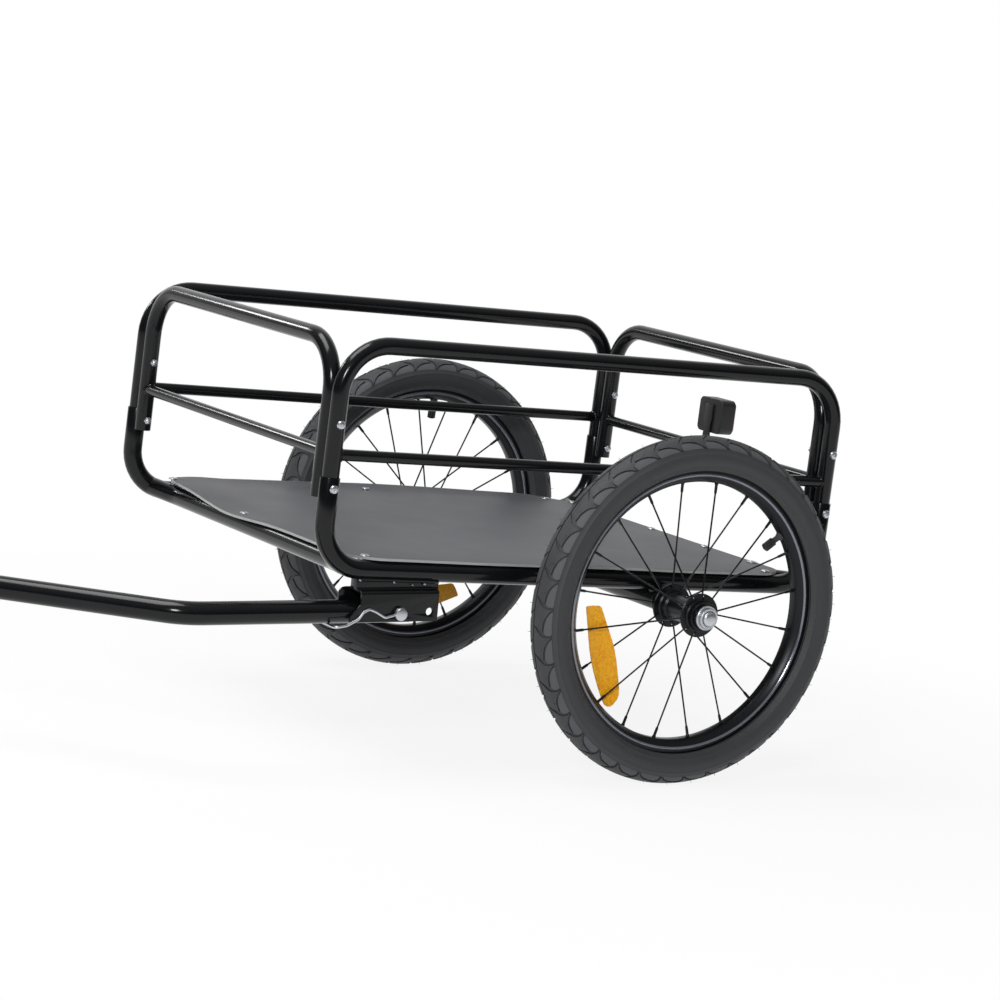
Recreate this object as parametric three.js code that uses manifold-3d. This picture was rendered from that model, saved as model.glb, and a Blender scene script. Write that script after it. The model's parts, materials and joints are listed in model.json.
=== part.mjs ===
// Cargo bike trailer: a tube cage on two spoked push-button wheels, with a bent side drawbar.
// Millimetres. X runs to the rear, Y to the right, Z up. The origin is the middle of the deck's top face.
import * as THREE from "three";
import { mergeVertices } from "three/addons/utils/BufferGeometryUtils.js";
import Module from "manifold-3d";

const wasm = await Module();
wasm.setup();

// Clearances and facet counts
const gap = 0.3;
const weldTolerance = 1e-3;
const tubeSides = 12;
const boreSides = 6;
const holeSides = 6;
const bendSteps = 4;
const barSides = 8;
const wheelSides = 30;
const innerTubeSides = 20;
const hubSides = 16;
const spokeSides = 4;
const wireSides = 5;
const boltSides = 8;
const overcut = 1;
const quarterSteps = 4;
const half = 0.5;
const degree = Math.PI / 180;

// Bed: distances between tube axes
const bedLength = 650;
const bedWidth = 494;
const railRise = 242;
const midBarRise = 122.5;
const hoopFootRise = 59;
const sleeveFootRise = 55;
const sleeveRise = 98;
const panelFootRise = 74;
const upperBoltRise = 155.5;
const lowerBoltRise = 86.5;

// Tubes
const hoopRadius = 9.5;
const hoopBore = 8;
const lowerRadius = 11;
const lowerBore = 9;
const midBarRadius = 6.35;
const midBarBore = 5;
const hoopBend = 55;
const lowerBend = 50;
const crossbarInset = 9;
const crossbarBore = 9.5;
const crossbarBend = 60;
const crossbarBendInset = 42;
const crossbarBendTurn = 60 * degree;
const crossbarLipInset = 8;

// Deck board: how far it stops short of the leg axes, and reaches past the side tube axes
const deckSetback = 36;
const deckOverhang = 9;
const deckThickness = 3;
const deckCorner = 55;

// Corner bolts
const boltRadius = 2.5;
const boltHeadRadius = 4.8;
const boltHeadHeight = 2.8;
const boltTail = 6;
const boltDomeShares = [
  [1, 0],
  [0.85, 0.6],
  [0.4, 1],
];

// Wheels: heights and depths run outwards and inwards from the bead seat
const axleX = 109.7;
const wheelOffset = 62.5;
const seatRadius = 152.6;
const tyreHeight = 45.4;
const tyreHalfWidth = 23.8;
const lipHeight = 6.1;
const wellDepth = 3.8;
const wellHalf = 5.5;
const shoulderDepth = 1.6;
const shoulderInset = 0.3;
const rimDepth = 8.6;
const rimInnerHalf = 5;
const rimHalfWidth = 12.5;
const lipThickness = 1.6;
const beadThickness = 3.2;
// Pairs of width share and height share: widths of the tyre's half width, heights from lip to tread
const tyreOuterShares = [
  [0.378, 0.964],
  [0.765, 0.796],
  [0.979, 0.542],
  [0.983, 0.288],
  [0.735, 0.071],
];
const tyreInnerShares = [
  [0.597, 0.109],
  [0.866, 0.466],
  [0.538, 0.796],
  [0, 0.898],
];
const tubeOuterShares = [
  [0.31, 0.76],
  [0.66, 0.42],
  [0.38, 0.24],
  [0.14, -0.06],
];
const tubeInnerShares = [
  [0.27, 0.71],
  [0.58, 0.42],
  [0.34, 0.27],
  [0.1, -0.02],
];

// Valve: depths run inwards from the bead seat
const valveRootHeight = 4.8;
const valveNeckDepth = 16.6;
const valveTipDepth = 28.1;
const valveRadius = 3.5;
const valveThreadRadius = 2.6;
const valveBore = 1.1;
const capMouthDepth = 17.1;
const capEndDepth = 30.6;
const capRadius = 5;
const capCrown = 1.5;

// Hub, stations measured outwards from the wheel's middle plane
const spokeCount = 20;
const hubHalf = 38;
const flangeRadius = 23.3;
const flangeStation = 27.5;
const spokeCircle = 19;
const spokeRadius = 1;
const nippleRadius = 1.9;
const nippleLength = 10;
const nippleTaper = 1.5;
const hubBore = 9;
const bearingRadius = 12;
const bearingWidth = 9;
const bearingProud = 3.2;
// Pairs of length share and radius share along half of the hub's outside
const hubShares = [
  [1, 0.71],
  [0.79, 0.71],
  [0.755, 0.99],
  [0.692, 0.99],
  [0.67, 0.74],
  [0.5, 0.7],
  [0.46, 0.6],
];

// Stub axle with its bright ring, push button and return spring
const axleRadius = 6;
const axleInsertion = 44;
const axleRodBore = 2.7;
const axleRingRadius = 13.75;
const axleRingThickness = 3;
const axleCupRadius = 11.3;
const axleCupHeight = 4;
const axleFloorRise = 2;
const buttonRest = 0.5;
const buttonRadius = 8.5;
const buttonTravel = 3;
const buttonRimThickness = 2.5;
const buttonDome = 3;
const buttonRodRadius = 1.9;
const buttonRodLength = 90;
const springWell = 15;
const springWellRadius = 4.3;
const springCoilRadius = 3.15;
const springWireRadius = 0.5;
const springTurns = 4;
const springStepsPerTurn = 6;

// Axle cross tube
const axleTubeRadius = 11;
const axleTubeBore = 8.5;
const axleTubeOverhang = 21;
const sleeveLength = 48;

// Wheel reflector, in shares of its half length and of its width
const reflectorHalfLength = 60;
const reflectorWidth = 30.5;
const reflectorThickness = 2.6;
const reflectorDepth = 52.6;
const reflectorAngle = 169.5 * degree;
const reflectorLean = 4 * degree;
const reflectorClipLength = 12;
const reflectorClipWidth = 9;
const reflectorClipDepth = 7.5;
const reflectorShares = [
  [0, 1],
  [0.28, 0.985],
  [0.54, 0.95],
  [0.75, 0.885],
  [0.94, 0.77],
  [1, 0.59],
  [0.95, 0.29],
  [0.84, 0.165],
  [0.58, 0.09],
  [0.28, 0.025],
];
const leftSpin = 37.5 * degree;
const rightSpin = 92 * degree;

// Rear reflector
const clampRadius = 9.5;
const clampWidth = 16;
const strapThickness = 2.4;
const strapRise = 54.8;
const lampWidth = 49;
const lampHeight = 42;
const lampDepth = 20;
const lampCorner = 7;
const lampRise = 40.8;
const lensBorder = 2.5;
const lensThickness = 5;
const lensRecess = 2.5;

// Hitch bracket, pin and wire bail; lengths run from the pin
const pinSetback = 95.65;
const pinDrop = 44;
const hitchPitch = 2.2 * degree;
const bracketWidth = 32;
const bracketPlate = 3;
const bracketCorner = 4;
const bracketTop = 25;
const bracketBottom = 9;
const bracketRear = 51;
const bracketNose = 60;
const bracketStep = 48;
const bracketStepHeight = 10;
const bracketLipHeight = 3;
const bracketNoseCorner = 9;
const neckWidth = 14;
const neckFront = 40;
const neckRear = 50;
const neckOverlap = 1;
const spareHoleX = 37;
const spareHoleZ = 1.6;
const pinRadius = 4;
const pinHeadRadius = 7.2;
const pinHeadThickness = 4;
const pinTail = 3.5;
const eyeThickness = 2.4;
const eyeRim = 2.4;
const bailWire = 1.2;
const bailReach = 78;
const bailDrop = 14.8;
const bailBend = 7;

// Drawbar
const drawbarRadius = 12.7;
const drawbarBore = 10.7;
const drawbarBend = 55;
const drawbarTail = 20;
const drawbarRun = 248;
const drawbarShift = 162;
const drawbarFront = 266;

// Coupling to the bicycle's rear axle
const plugLength = 28;
const collarLength = 4;
const tongueRadius = 12;
const tongueThickness = 10;
const forkPlate = 4;
const forkRadius = 13;
const forkWeb = 5;
const forkClearance = 1.2;
const lugReach = 16;
const couplingPinRadius = 4;
const couplingHeadRadius = 7;
const couplingHeadThickness = 3;
const couplingTail = 4;
const platePivotRadius = 13;
const plateEndRadius = 16;
const plateReach = 50;
const plateRise = 26;
const plateThickness = 5;
const plateHoleRadius = 5.3;

// Places that follow from the sizes above
const lowerZ = -(deckThickness + gap + lowerRadius);
const legX = bedLength * half;
const railY = bedWidth * half;
const panelLegY = railY - lowerRadius - hoopRadius - gap;
const railZ = lowerZ + railRise;
const midBarZ = lowerZ + midBarRise;
const axleZ = lowerZ - lowerRadius - axleTubeRadius - gap;
const deckLength = bedLength - 2 * deckSetback;
const deckWidth = bedWidth + 2 * deckOverhang;
const trackHalf = railY + wheelOffset;
const axleTubeEnd = railY + axleTubeOverhang;
const tyreRadius = seatRadius + tyreHeight;
const lipRadius = seatRadius + lipHeight;
const shoulderRadius = seatRadius - shoulderDepth;
const wellRadius = seatRadius - wellDepth;
const rimInnerRadius = seatRadius - rimDepth;
const reflectorInnerRadius = seatRadius - reflectorDepth;
const valveRoot = seatRadius + valveRootHeight;
const valveNeck = seatRadius - valveNeckDepth;
const valveTip = seatRadius - valveTipDepth;
const capMouth = seatRadius - capMouthDepth;
const capEnd = seatRadius - capEndDepth;

// Solids and geometries
function toSolid(geometry) {
  const bare = geometry.clone();
  bare.deleteAttribute("normal");
  bare.deleteAttribute("uv");
  const merged = mergeVertices(bare, weldTolerance);
  const triVerts = new Uint32Array(merged.index.array);
  const vertProperties = new Float32Array(merged.attributes.position.array);
  const made = new wasm.Manifold(new wasm.Mesh({ numProp: 3, vertProperties, triVerts }));
  if (made.volume() >= 0) {
    return made;
  }
  for (let i = 0; i < triVerts.length; i += 3) {
    [triVerts[i + 1], triVerts[i + 2]] = [triVerts[i + 2], triVerts[i + 1]];
  }
  return new wasm.Manifold(new wasm.Mesh({ numProp: 3, vertProperties, triVerts }));
}

function toGeometry(solid) {
  const mesh = solid.getMesh();
  const geometry = new THREE.BufferGeometry();
  geometry.setAttribute("position", new THREE.BufferAttribute(new Float32Array(mesh.vertProperties), 3));
  geometry.setIndex(new THREE.BufferAttribute(new Uint32Array(mesh.triVerts), 1));
  geometry.computeVertexNormals();
  return geometry;
}

function join(...solids) {
  return solids.reduce((all, next) => all.add(next));
}

function cut(body, ...tools) {
  return tools.reduce((left, tool) => left.subtract(tool), body);
}

// A path through straight runs and round bends, with one station at each change of direction
class BentPath extends THREE.Curve {
  constructor(corners, bendRadius) {
    super();
    this.points = [];
    this.tangents = [];
    corners.forEach((corner, index) => {
      const before = corners[index - 1];
      const after = corners[index + 1];
      if (!before || !after) {
        const from = before || corner;
        const to = before ? corner : after;
        this.points.push(corner.clone());
        this.tangents.push(to.clone().sub(from).normalize());
        return;
      }
      const along = corner.clone().sub(before).normalize();
      const away = after.clone().sub(corner).normalize();
      const turn = along.angleTo(away);
      const inward = away.clone().addScaledVector(along, -along.dot(away)).normalize();
      const start = corner.clone().addScaledVector(along, -bendRadius * Math.tan(turn * half));
      for (let step = 0; step <= bendSteps; step += 1) {
        const angle = (turn * step) / bendSteps;
        const point = start.clone();
        point.addScaledVector(along, bendRadius * Math.sin(angle));
        point.addScaledVector(inward, bendRadius * (1 - Math.cos(angle)));
        const tangent = along.clone().multiplyScalar(Math.cos(angle));
        tangent.addScaledVector(inward, Math.sin(angle));
        this.points.push(point);
        this.tangents.push(tangent);
      }
    });
  }

  getPointAt(share, target = new THREE.Vector3()) {
    return target.copy(this.points[Math.round(share * (this.points.length - 1))]);
  }

  getTangentAt(share, target = new THREE.Vector3()) {
    return target.copy(this.tangents[Math.round(share * (this.tangents.length - 1))]);
  }
}

// A helix about the Y axis from one height to another
class CoilPath extends THREE.Curve {
  constructor(radius, from, to, turns) {
    super();
    this.radius = radius;
    this.from = from;
    this.to = to;
    this.turns = turns;
  }

  getPointAt(share, target = new THREE.Vector3()) {
    const angle = 2 * Math.PI * this.turns * share;
    const height = this.from + (this.to - this.from) * share;
    return target.set(this.radius * Math.cos(angle), height, this.radius * Math.sin(angle));
  }

  getTangentAt(share, target = new THREE.Vector3()) {
    const turned = 2 * Math.PI * this.turns;
    const angle = turned * share;
    target.set(-this.radius * turned * Math.sin(angle), this.to - this.from, this.radius * turned * Math.cos(angle));
    return target.normalize();
  }
}

function circlePoints(radius, sides) {
  const points = [];
  for (let index = 0; index < sides; index += 1) {
    const angle = (2 * Math.PI * index) / sides;
    points.push(new THREE.Vector2(radius * Math.cos(angle), radius * Math.sin(angle)));
  }
  return points;
}

function sweep(path, radius, sides, steps = path.points.length - 1) {
  const shape = new THREE.Shape(circlePoints(radius, sides));
  return toSolid(new THREE.ExtrudeGeometry(shape, { steps, extrudePath: path, bevelEnabled: false }));
}

function vector(x, y, z) {
  return new THREE.Vector3(x, y, z);
}

// A tube along a bent path, with its bore open at both ends
function bentTube(corners, bend, radius, bore) {
  const path = new BentPath(corners, bend);
  return cut(sweep(path, radius, tubeSides), sweep(path, bore, boreSides));
}

// A round bar between two points
function rod(from, to, radius, sides, endRadius = radius) {
  const along = to.clone().sub(from);
  const geometry = new THREE.CylinderGeometry(endRadius, radius, along.length(), sides);
  const turn = new THREE.Quaternion().setFromUnitVectors(vector(0, 1, 0), along.clone().normalize());
  geometry.applyQuaternion(turn);
  const middle = from.clone().add(to).multiplyScalar(half);
  geometry.translate(middle.x, middle.y, middle.z);
  return toSolid(geometry);
}

// A hole tool whose flats, not its corners, clear the pin
function drill(from, to, pinSize) {
  return rod(from, to, (pinSize + gap) / Math.cos(Math.PI / holeSides), holeSides);
}

function box(low, high) {
  const size = high.clone().sub(low);
  const geometry = new THREE.BoxGeometry(size.x, size.y, size.z);
  geometry.translate(low.x + size.x * half, low.y + size.y * half, low.z + size.z * half);
  return toSolid(geometry);
}

// A solid turned about the Y axis from pairs of radius and height
function turned(pairs, sides) {
  const points = pairs.map(([radius, height]) => new THREE.Vector2(radius, height));
  return toSolid(new THREE.LatheGeometry(points, sides));
}

function turnedRing(pairs, sides) {
  return turned([...pairs, pairs[0]], sides);
}

// A plate whose outline lies in X and Z, between two heights along Y
function plateAcross(outline, fromY, toY, holes = []) {
  const shape = new THREE.Shape(outline.map(([x, z]) => new THREE.Vector2(x, z)));
  holes.forEach(({ x, z, radius }) => {
    const points = circlePoints(radius / Math.cos(Math.PI / tubeSides), tubeSides);
    shape.holes.push(new THREE.Path(points.map((point) => point.add(new THREE.Vector2(x, z)))));
  });
  const geometry = new THREE.ExtrudeGeometry(shape, { depth: toY - fromY, bevelEnabled: false });
  geometry.rotateX(Math.PI * half);
  geometry.translate(0, toY, 0);
  return toSolid(geometry);
}

// A rectangle with round corners, as points about its middle
function roundedRectangle(width, height, corner) {
  const points = [];
  const centres = [
    [1, 1],
    [-1, 1],
    [-1, -1],
    [1, -1],
  ];
  centres.forEach(([sideX, sideY], quarter) => {
    for (let step = 0; step <= quarterSteps; step += 1) {
      const angle = Math.PI * half * (quarter + step / quarterSteps);
      const x = sideX * (width * half - corner) + corner * Math.cos(angle);
      const y = sideY * (height * half - corner) + corner * Math.sin(angle);
      points.push([x, y]);
    }
  });
  return points;
}

// The outline round two circles joined by their common tangents
function linkOutline(first, second) {
  const dx = second.x - first.x;
  const dz = second.z - first.z;
  const lean = Math.atan2(dz, dx);
  const open = Math.acos((first.radius - second.radius) / Math.hypot(dx, dz));
  const points = [];
  const arc = (circle, from, to) => {
    const steps = tubeSides * half;
    for (let step = 0; step <= steps; step += 1) {
      const angle = from + ((to - from) * step) / steps;
      points.push([circle.x + circle.radius * Math.cos(angle), circle.z + circle.radius * Math.sin(angle)]);
    }
  };
  arc(first, lean + open, lean + 2 * Math.PI - open);
  arc(second, lean - open, lean + open);
  return points;
}

// Colours and finishes
function finish(color, roughness, metalness) {
  return new THREE.MeshStandardMaterial({ color, roughness, metalness });
}

const blackPaint = finish(0x17181a, 0.35, 0.1);
const blackAnodised = finish(0x1b1c1e, 0.4, 0.5);
const blackPlastic = finish(0x1c1c1d, 0.5, 0);
const greyBoard = finish(0x55565a, 0.75, 0);
const rubber = finish(0x2e2f32, 0.85, 0);
const brightZinc = finish(0xc9ccd0, 0.3, 0.9);
const amberPlastic = finish(0xf0a015, 0.3, 0);
const redPlastic = finish(0x7c1218, 0.25, 0);

const trailer = new THREE.Group();
trailer.name = "cargo_bike_trailer";

function add(parent, name, solid, material) {
  const mesh = new THREE.Mesh(toGeometry(solid), material);
  mesh.name = name;
  parent.add(mesh);
}

const sides = [
  { name: "left", way: -1, spin: leftSpin },
  { name: "right", way: 1, spin: rightSpin },
];
const ends = [
  { name: "front", way: -1 },
  { name: "rear", way: 1 },
];
const boltRows = [
  { name: "upper", rise: upperBoltRise, outside: hoopRadius },
  { name: "lower", rise: lowerBoltRise, outside: lowerRadius },
];

// Drill tools for one side's corner bolts
function boltHoles(way) {
  const tools = [];
  ends.forEach((end) => {
    boltRows.forEach((row) => {
      const z = lowerZ + row.rise;
      const from = vector(end.way * legX, way * (panelLegY - lowerRadius - boltTail), z);
      const to = vector(end.way * legX, way * (railY + lowerRadius + boltTail), z);
      tools.push(drill(from, to, boltRadius));
    });
  });
  return tools;
}

// Side tubes and hoops
sides.forEach((side) => {
  const y = side.way * railY;
  const sleeveZ = lowerZ + sleeveRise;
  const lowerCorners = [
    vector(-legX, y, sleeveZ),
    vector(-legX, y, lowerZ),
    vector(legX, y, lowerZ),
    vector(legX, y, sleeveZ),
  ];
  const lowerTube = bentTube(lowerCorners, lowerBend, lowerRadius, lowerBore);
  const sleeves = ends.map((end) => {
    const foot = vector(end.way * legX, y, lowerZ + sleeveFootRise);
    return rod(foot, vector(end.way * legX, y, sleeveZ + overcut), hoopRadius + gap, tubeSides);
  });
  const holes = boltHoles(side.way);
  add(trailer, `${side.name}_lower_tube`, cut(lowerTube, ...sleeves, ...holes), blackPaint);

  const footZ = lowerZ + hoopFootRise;
  const hoopCorners = [vector(-legX, y, footZ), vector(-legX, y, railZ), vector(legX, y, railZ), vector(legX, y, footZ)];
  const hoopPath = new BentPath(hoopCorners, hoopBend);
  const barEnds = [vector(-legX, y, midBarZ), vector(legX, y, midBarZ)];
  const hoopOuter = join(sweep(hoopPath, hoopRadius, tubeSides), rod(...barEnds, midBarRadius, barSides));
  const hoopInner = join(sweep(hoopPath, hoopBore, boreSides), rod(...barEnds, midBarBore, boreSides));
  add(trailer, `${side.name}_side_hoop`, cut(hoopOuter, hoopInner, ...holes), blackPaint);
});

// End panels, whose legs stand beside the hoop legs
ends.forEach((end) => {
  const x = end.way * legX;
  const footZ = lowerZ + panelFootRise;
  const corners = [
    vector(x, -panelLegY, footZ),
    vector(x, -panelLegY, railZ),
    vector(x, panelLegY, railZ),
    vector(x, panelLegY, footZ),
  ];
  const path = new BentPath(corners, hoopBend);
  const barEnds = [vector(x, -panelLegY, midBarZ), vector(x, panelLegY, midBarZ)];
  const outer = join(sweep(path, hoopRadius, tubeSides), rod(...barEnds, midBarRadius, barSides));
  const inner = join(sweep(path, hoopBore, boreSides), rod(...barEnds, midBarBore, boreSides));
  add(trailer, `${end.name}_panel`, cut(outer, inner, ...boltHoles(-1), ...boltHoles(1)), blackPaint);
});

// Crossbars: each end sweeps round to meet the side tube
ends.forEach((end) => {
  const barX = end.way * (deckLength * half - crossbarInset);
  const cornerY = railY - crossbarBendInset;
  const endX = barX - end.way * crossbarBendInset * Math.tan(crossbarBendTurn);
  const corners = [
    vector(endX, -railY, lowerZ),
    vector(barX, -cornerY, lowerZ),
    vector(barX, cornerY, lowerZ),
    vector(endX, railY, lowerZ),
  ];
  const bar = bentTube(corners, crossbarBend, lowerRadius, crossbarBore);
  const saddles = sides.map((side) => {
    const from = vector(-legX, side.way * railY, lowerZ);
    const to = vector(legX, side.way * railY, lowerZ);
    return rod(from, to, lowerRadius + gap, tubeSides);
  });
  const lips = sides.map((side) => {
    const near = side.way * (railY - crossbarLipInset);
    const far = side.way * (railY + lowerRadius);
    return box(
      vector(-legX, Math.min(near, far), lowerZ - lowerRadius - overcut),
      vector(legX, Math.max(near, far), lowerZ + lowerRadius + overcut),
    );
  });
  add(trailer, `${end.name}_crossbar`, cut(bar, ...saddles, ...lips), blackPaint);
});

// Deck board
const deckShape = new THREE.Shape(
  roundedRectangle(deckLength, deckWidth, deckCorner).map(([x, y]) => new THREE.Vector2(x, y)),
);
const deckGeometry = new THREE.ExtrudeGeometry(deckShape, { depth: deckThickness, bevelEnabled: false });
deckGeometry.translate(0, 0, -deckThickness);
add(trailer, "deck_board", toSolid(deckGeometry), greyBoard);

// Corner bolts
ends.forEach((end) => {
  sides.forEach((side) => {
    boltRows.forEach((row) => {
      const seat = railY + row.outside + gap;
      const tail = panelLegY - hoopRadius - boltTail;
      const profile = [[0, tail], [boltRadius, tail], [boltRadius, seat]];
      boltDomeShares.forEach(([radiusShare, heightShare]) => {
        profile.push([boltHeadRadius * radiusShare, seat + boltHeadHeight * heightShare]);
      });
      profile.push([0, seat + boltHeadHeight]);
      const group = new THREE.Group();
      group.position.set(end.way * legX, 0, lowerZ + row.rise);
      group.scale.y = side.way;
      trailer.add(group);
      add(group, `${end.name}_${side.name}_${row.name}_bolt`, turned(profile, boltSides), brightZinc);
    });
  });
});

// Axle cross tube, open at both ends to receive the stub axles
const sleeveInner = axleTubeEnd - sleeveLength;
const receiverBore = axleRadius + gap;
const axleTube = turnedRing(
  [
    [axleTubeRadius, -axleTubeEnd],
    [axleTubeRadius, axleTubeEnd],
    [receiverBore, axleTubeEnd],
    [receiverBore, sleeveInner],
    [axleTubeBore, sleeveInner],
    [axleTubeBore, -sleeveInner],
    [receiverBore, -sleeveInner],
    [receiverBore, -axleTubeEnd],
  ],
  hubSides,
);
const axleTubeGroup = new THREE.Group();
axleTubeGroup.position.set(axleX, 0, axleZ);
trailer.add(axleTubeGroup);
add(axleTubeGroup, "axle_cross_tube", axleTube, blackPaint);

// A closed section through tyre, rim or tube: the points of one half, then their mirror image
function mirroredSection(halfPoints) {
  const other = halfPoints.filter(([, across]) => across !== 0).map(([radius, across]) => [radius, -across]);
  return [...halfPoints, ...other.reverse()];
}

function tyrePlace([widthShare, heightShare]) {
  return [lipRadius + heightShare * (tyreRadius - lipRadius), widthShare * tyreHalfWidth];
}

// Shared sections of the wheels
const beadOutside = rimHalfWidth - lipThickness - gap;
const beadFoot = seatRadius + gap;
const tyreHalf = [
  [tyreRadius, 0],
  ...tyreOuterShares.map(tyrePlace),
  [lipRadius + gap, beadOutside],
  [beadFoot, beadOutside],
  [beadFoot, beadOutside - beadThickness],
  [lipRadius + beadThickness, beadOutside - beadThickness],
  ...tyreInnerShares.map(tyrePlace),
];
const rimHalf = [
  [rimInnerRadius, rimInnerHalf],
  [shoulderRadius, rimHalfWidth - shoulderInset],
  [lipRadius, rimHalfWidth],
  [lipRadius, rimHalfWidth - lipThickness],
  [seatRadius, rimHalfWidth - lipThickness],
  [wellRadius, wellHalf],
];
const hubOutside = hubShares.map(([lengthShare, radiusShare]) => [flangeRadius * radiusShare, hubHalf * lengthShare]);
const bearingEnd = hubHalf + bearingProud;
const bearingStart = bearingEnd - bearingWidth;
const hubShoulder = bearingStart - gap;
const bearingSeat = bearingRadius + gap;
const hubInside = [
  [hubBore, hubShoulder],
  [bearingSeat, hubShoulder],
  [bearingSeat, hubHalf],
];

// A bar turned about its own line from pairs of radius and distance along it
function turnedAlong(pairs, from, direction, sideCount) {
  const solidPairs = pairs.map(([radius, height]) => new THREE.Vector2(radius, height));
  const geometry = new THREE.LatheGeometry(solidPairs, sideCount);
  geometry.applyQuaternion(new THREE.Quaternion().setFromUnitVectors(vector(0, 1, 0), direction));
  geometry.translate(from.x, from.y, from.z);
  return toSolid(geometry);
}

// One radial spoke with its nipple, from a hub flange to the rim; outer flanges lie towards -Y
function spoke(index, extra) {
  const angle = (2 * Math.PI * (index + half)) / spokeCount;
  const flangeY = index % 2 === 0 ? -flangeStation : flangeStation;
  const lean = Math.atan2(flangeStation, rimInnerRadius - spokeCircle);
  const tip = rimInnerRadius * Math.cos(Math.PI / wheelSides) - gap - nippleRadius * Math.sin(lean);
  const from = vector(spokeCircle * Math.cos(angle), flangeY, spokeCircle * Math.sin(angle));
  const to = vector(tip * Math.cos(angle), 0, tip * Math.sin(angle));
  const along = to.clone().sub(from);
  const length = along.length();
  const profile = [
    [0, 0],
    [spokeRadius + extra, 0],
    [spokeRadius + extra, length - nippleLength - extra],
    [nippleRadius + extra, length - nippleLength - extra + nippleTaper],
    [nippleRadius + extra, length],
    [0, length],
  ];
  return turnedAlong(profile, from, along.normalize(), spokeSides);
}

// The wheel's own frame has its middle at the origin, outboard towards -Y and the valve on +X
function tyreSolid() {
  return turnedRing(mirroredSection(tyreHalf), wheelSides);
}

function rimSolid() {
  const valveHole = drill(vector(rimInnerRadius - overcut, 0, 0), vector(valveRoot + overcut, 0, 0), valveRadius);
  return cut(turnedRing(mirroredSection(rimHalf), wheelSides), valveHole);
}

function innerTubeSolid() {
  const outside = turnedRing(mirroredSection(tubeOuterShares.map(tyrePlace)), innerTubeSides);
  const inside = turnedRing(mirroredSection(tubeInnerShares.map(tyrePlace)), innerTubeSides);
  const stem = rod(vector(valveNeck, 0, 0), vector(valveRoot, 0, 0), valveRadius, tubeSides);
  const thread = rod(vector(valveTip, 0, 0), vector(valveRoot, 0, 0), valveThreadRadius, boreSides);
  const passage = rod(vector(valveTip - overcut, 0, 0), vector(valveRoot + overcut, 0, 0), valveBore, boreSides);
  return cut(join(outside, stem, thread), inside, passage);
}

function valveCapSolid() {
  const threadBore = (valveThreadRadius + gap) / Math.cos(Math.PI / boreSides);
  const crown = valveTip - gap;
  const profile = [
    [0, capEnd],
    [capRadius - capCrown, capEnd],
    [capRadius, capEnd + capCrown],
    [capRadius, capMouth],
    [threadBore, capMouth],
    [threadBore, crown],
    [0, crown],
  ];
  return turnedAlong(profile, vector(0, 0, 0), vector(1, 0, 0), boreSides);
}

function spokedHubSolid() {
  const outside = [...hubOutside, ...hubOutside.map(([radius, height]) => [radius, -height]).reverse()];
  const inside = [...hubInside.map(([radius, height]) => [radius, -height]).reverse(), ...hubInside];
  const shell = turnedRing([...outside, ...inside], hubSides);
  const spokes = [];
  for (let index = 0; index < spokeCount; index += 1) {
    spokes.push(spoke(index, 0));
  }
  return join(shell, ...spokes);
}

function bearingSolid(way) {
  const section = [
    [axleRadius + gap, way * bearingStart],
    [bearingRadius, way * bearingStart],
    [bearingRadius, way * bearingEnd],
    [axleRadius + gap, way * bearingEnd],
  ];
  return turnedRing(section, hubSides);
}

const axleInnerEnd = axleTubeEnd - axleInsertion - trackHalf;
const ringStart = bearingEnd + gap;
const cupStart = ringStart + axleRingThickness;
const cupEnd = cupStart + axleCupHeight;
const cupFloor = ringStart + axleFloorRise;
const wellFloor = cupFloor - springWell;
const buttonSeat = cupFloor + buttonTravel + buttonRest;

function outboard(pairs) {
  return pairs.map(([radius, station]) => [radius, -station]);
}

function axleSolid() {
  return turnedRing(
    outboard([
      [axleRadius, axleInnerEnd],
      [axleRadius, ringStart],
      [axleRingRadius, ringStart],
      [axleRingRadius, cupStart],
      [axleCupRadius, cupStart],
      [axleCupRadius, cupEnd],
      [buttonRadius + gap, cupEnd],
      [buttonRadius + gap, cupFloor],
      [springWellRadius, cupFloor],
      [springWellRadius, wellFloor],
      [axleRodBore, wellFloor],
      [axleRodBore, axleInnerEnd],
    ]),
    hubSides,
  );
}

function buttonSolid() {
  const rimEnd = buttonSeat + buttonRimThickness;
  const dome = boltDomeShares.map(([radiusShare, heightShare]) => [
    buttonRadius * radiusShare,
    rimEnd + buttonDome * heightShare,
  ]);
  return turned(
    outboard([
      [0, buttonSeat - buttonRodLength],
      [buttonRodRadius, buttonSeat - buttonRodLength],
      [buttonRodRadius, buttonSeat],
      [buttonRadius, buttonSeat],
      ...dome,
      [0, rimEnd + buttonDome],
    ]),
    hubSides,
  );
}

function springSolid() {
  const clear = gap + springWireRadius;
  const path = new CoilPath(springCoilRadius, -wellFloor - clear, -buttonSeat + clear, springTurns);
  return sweep(path, springWireRadius, spokeSides, springTurns * springStepsPerTurn);
}

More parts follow.
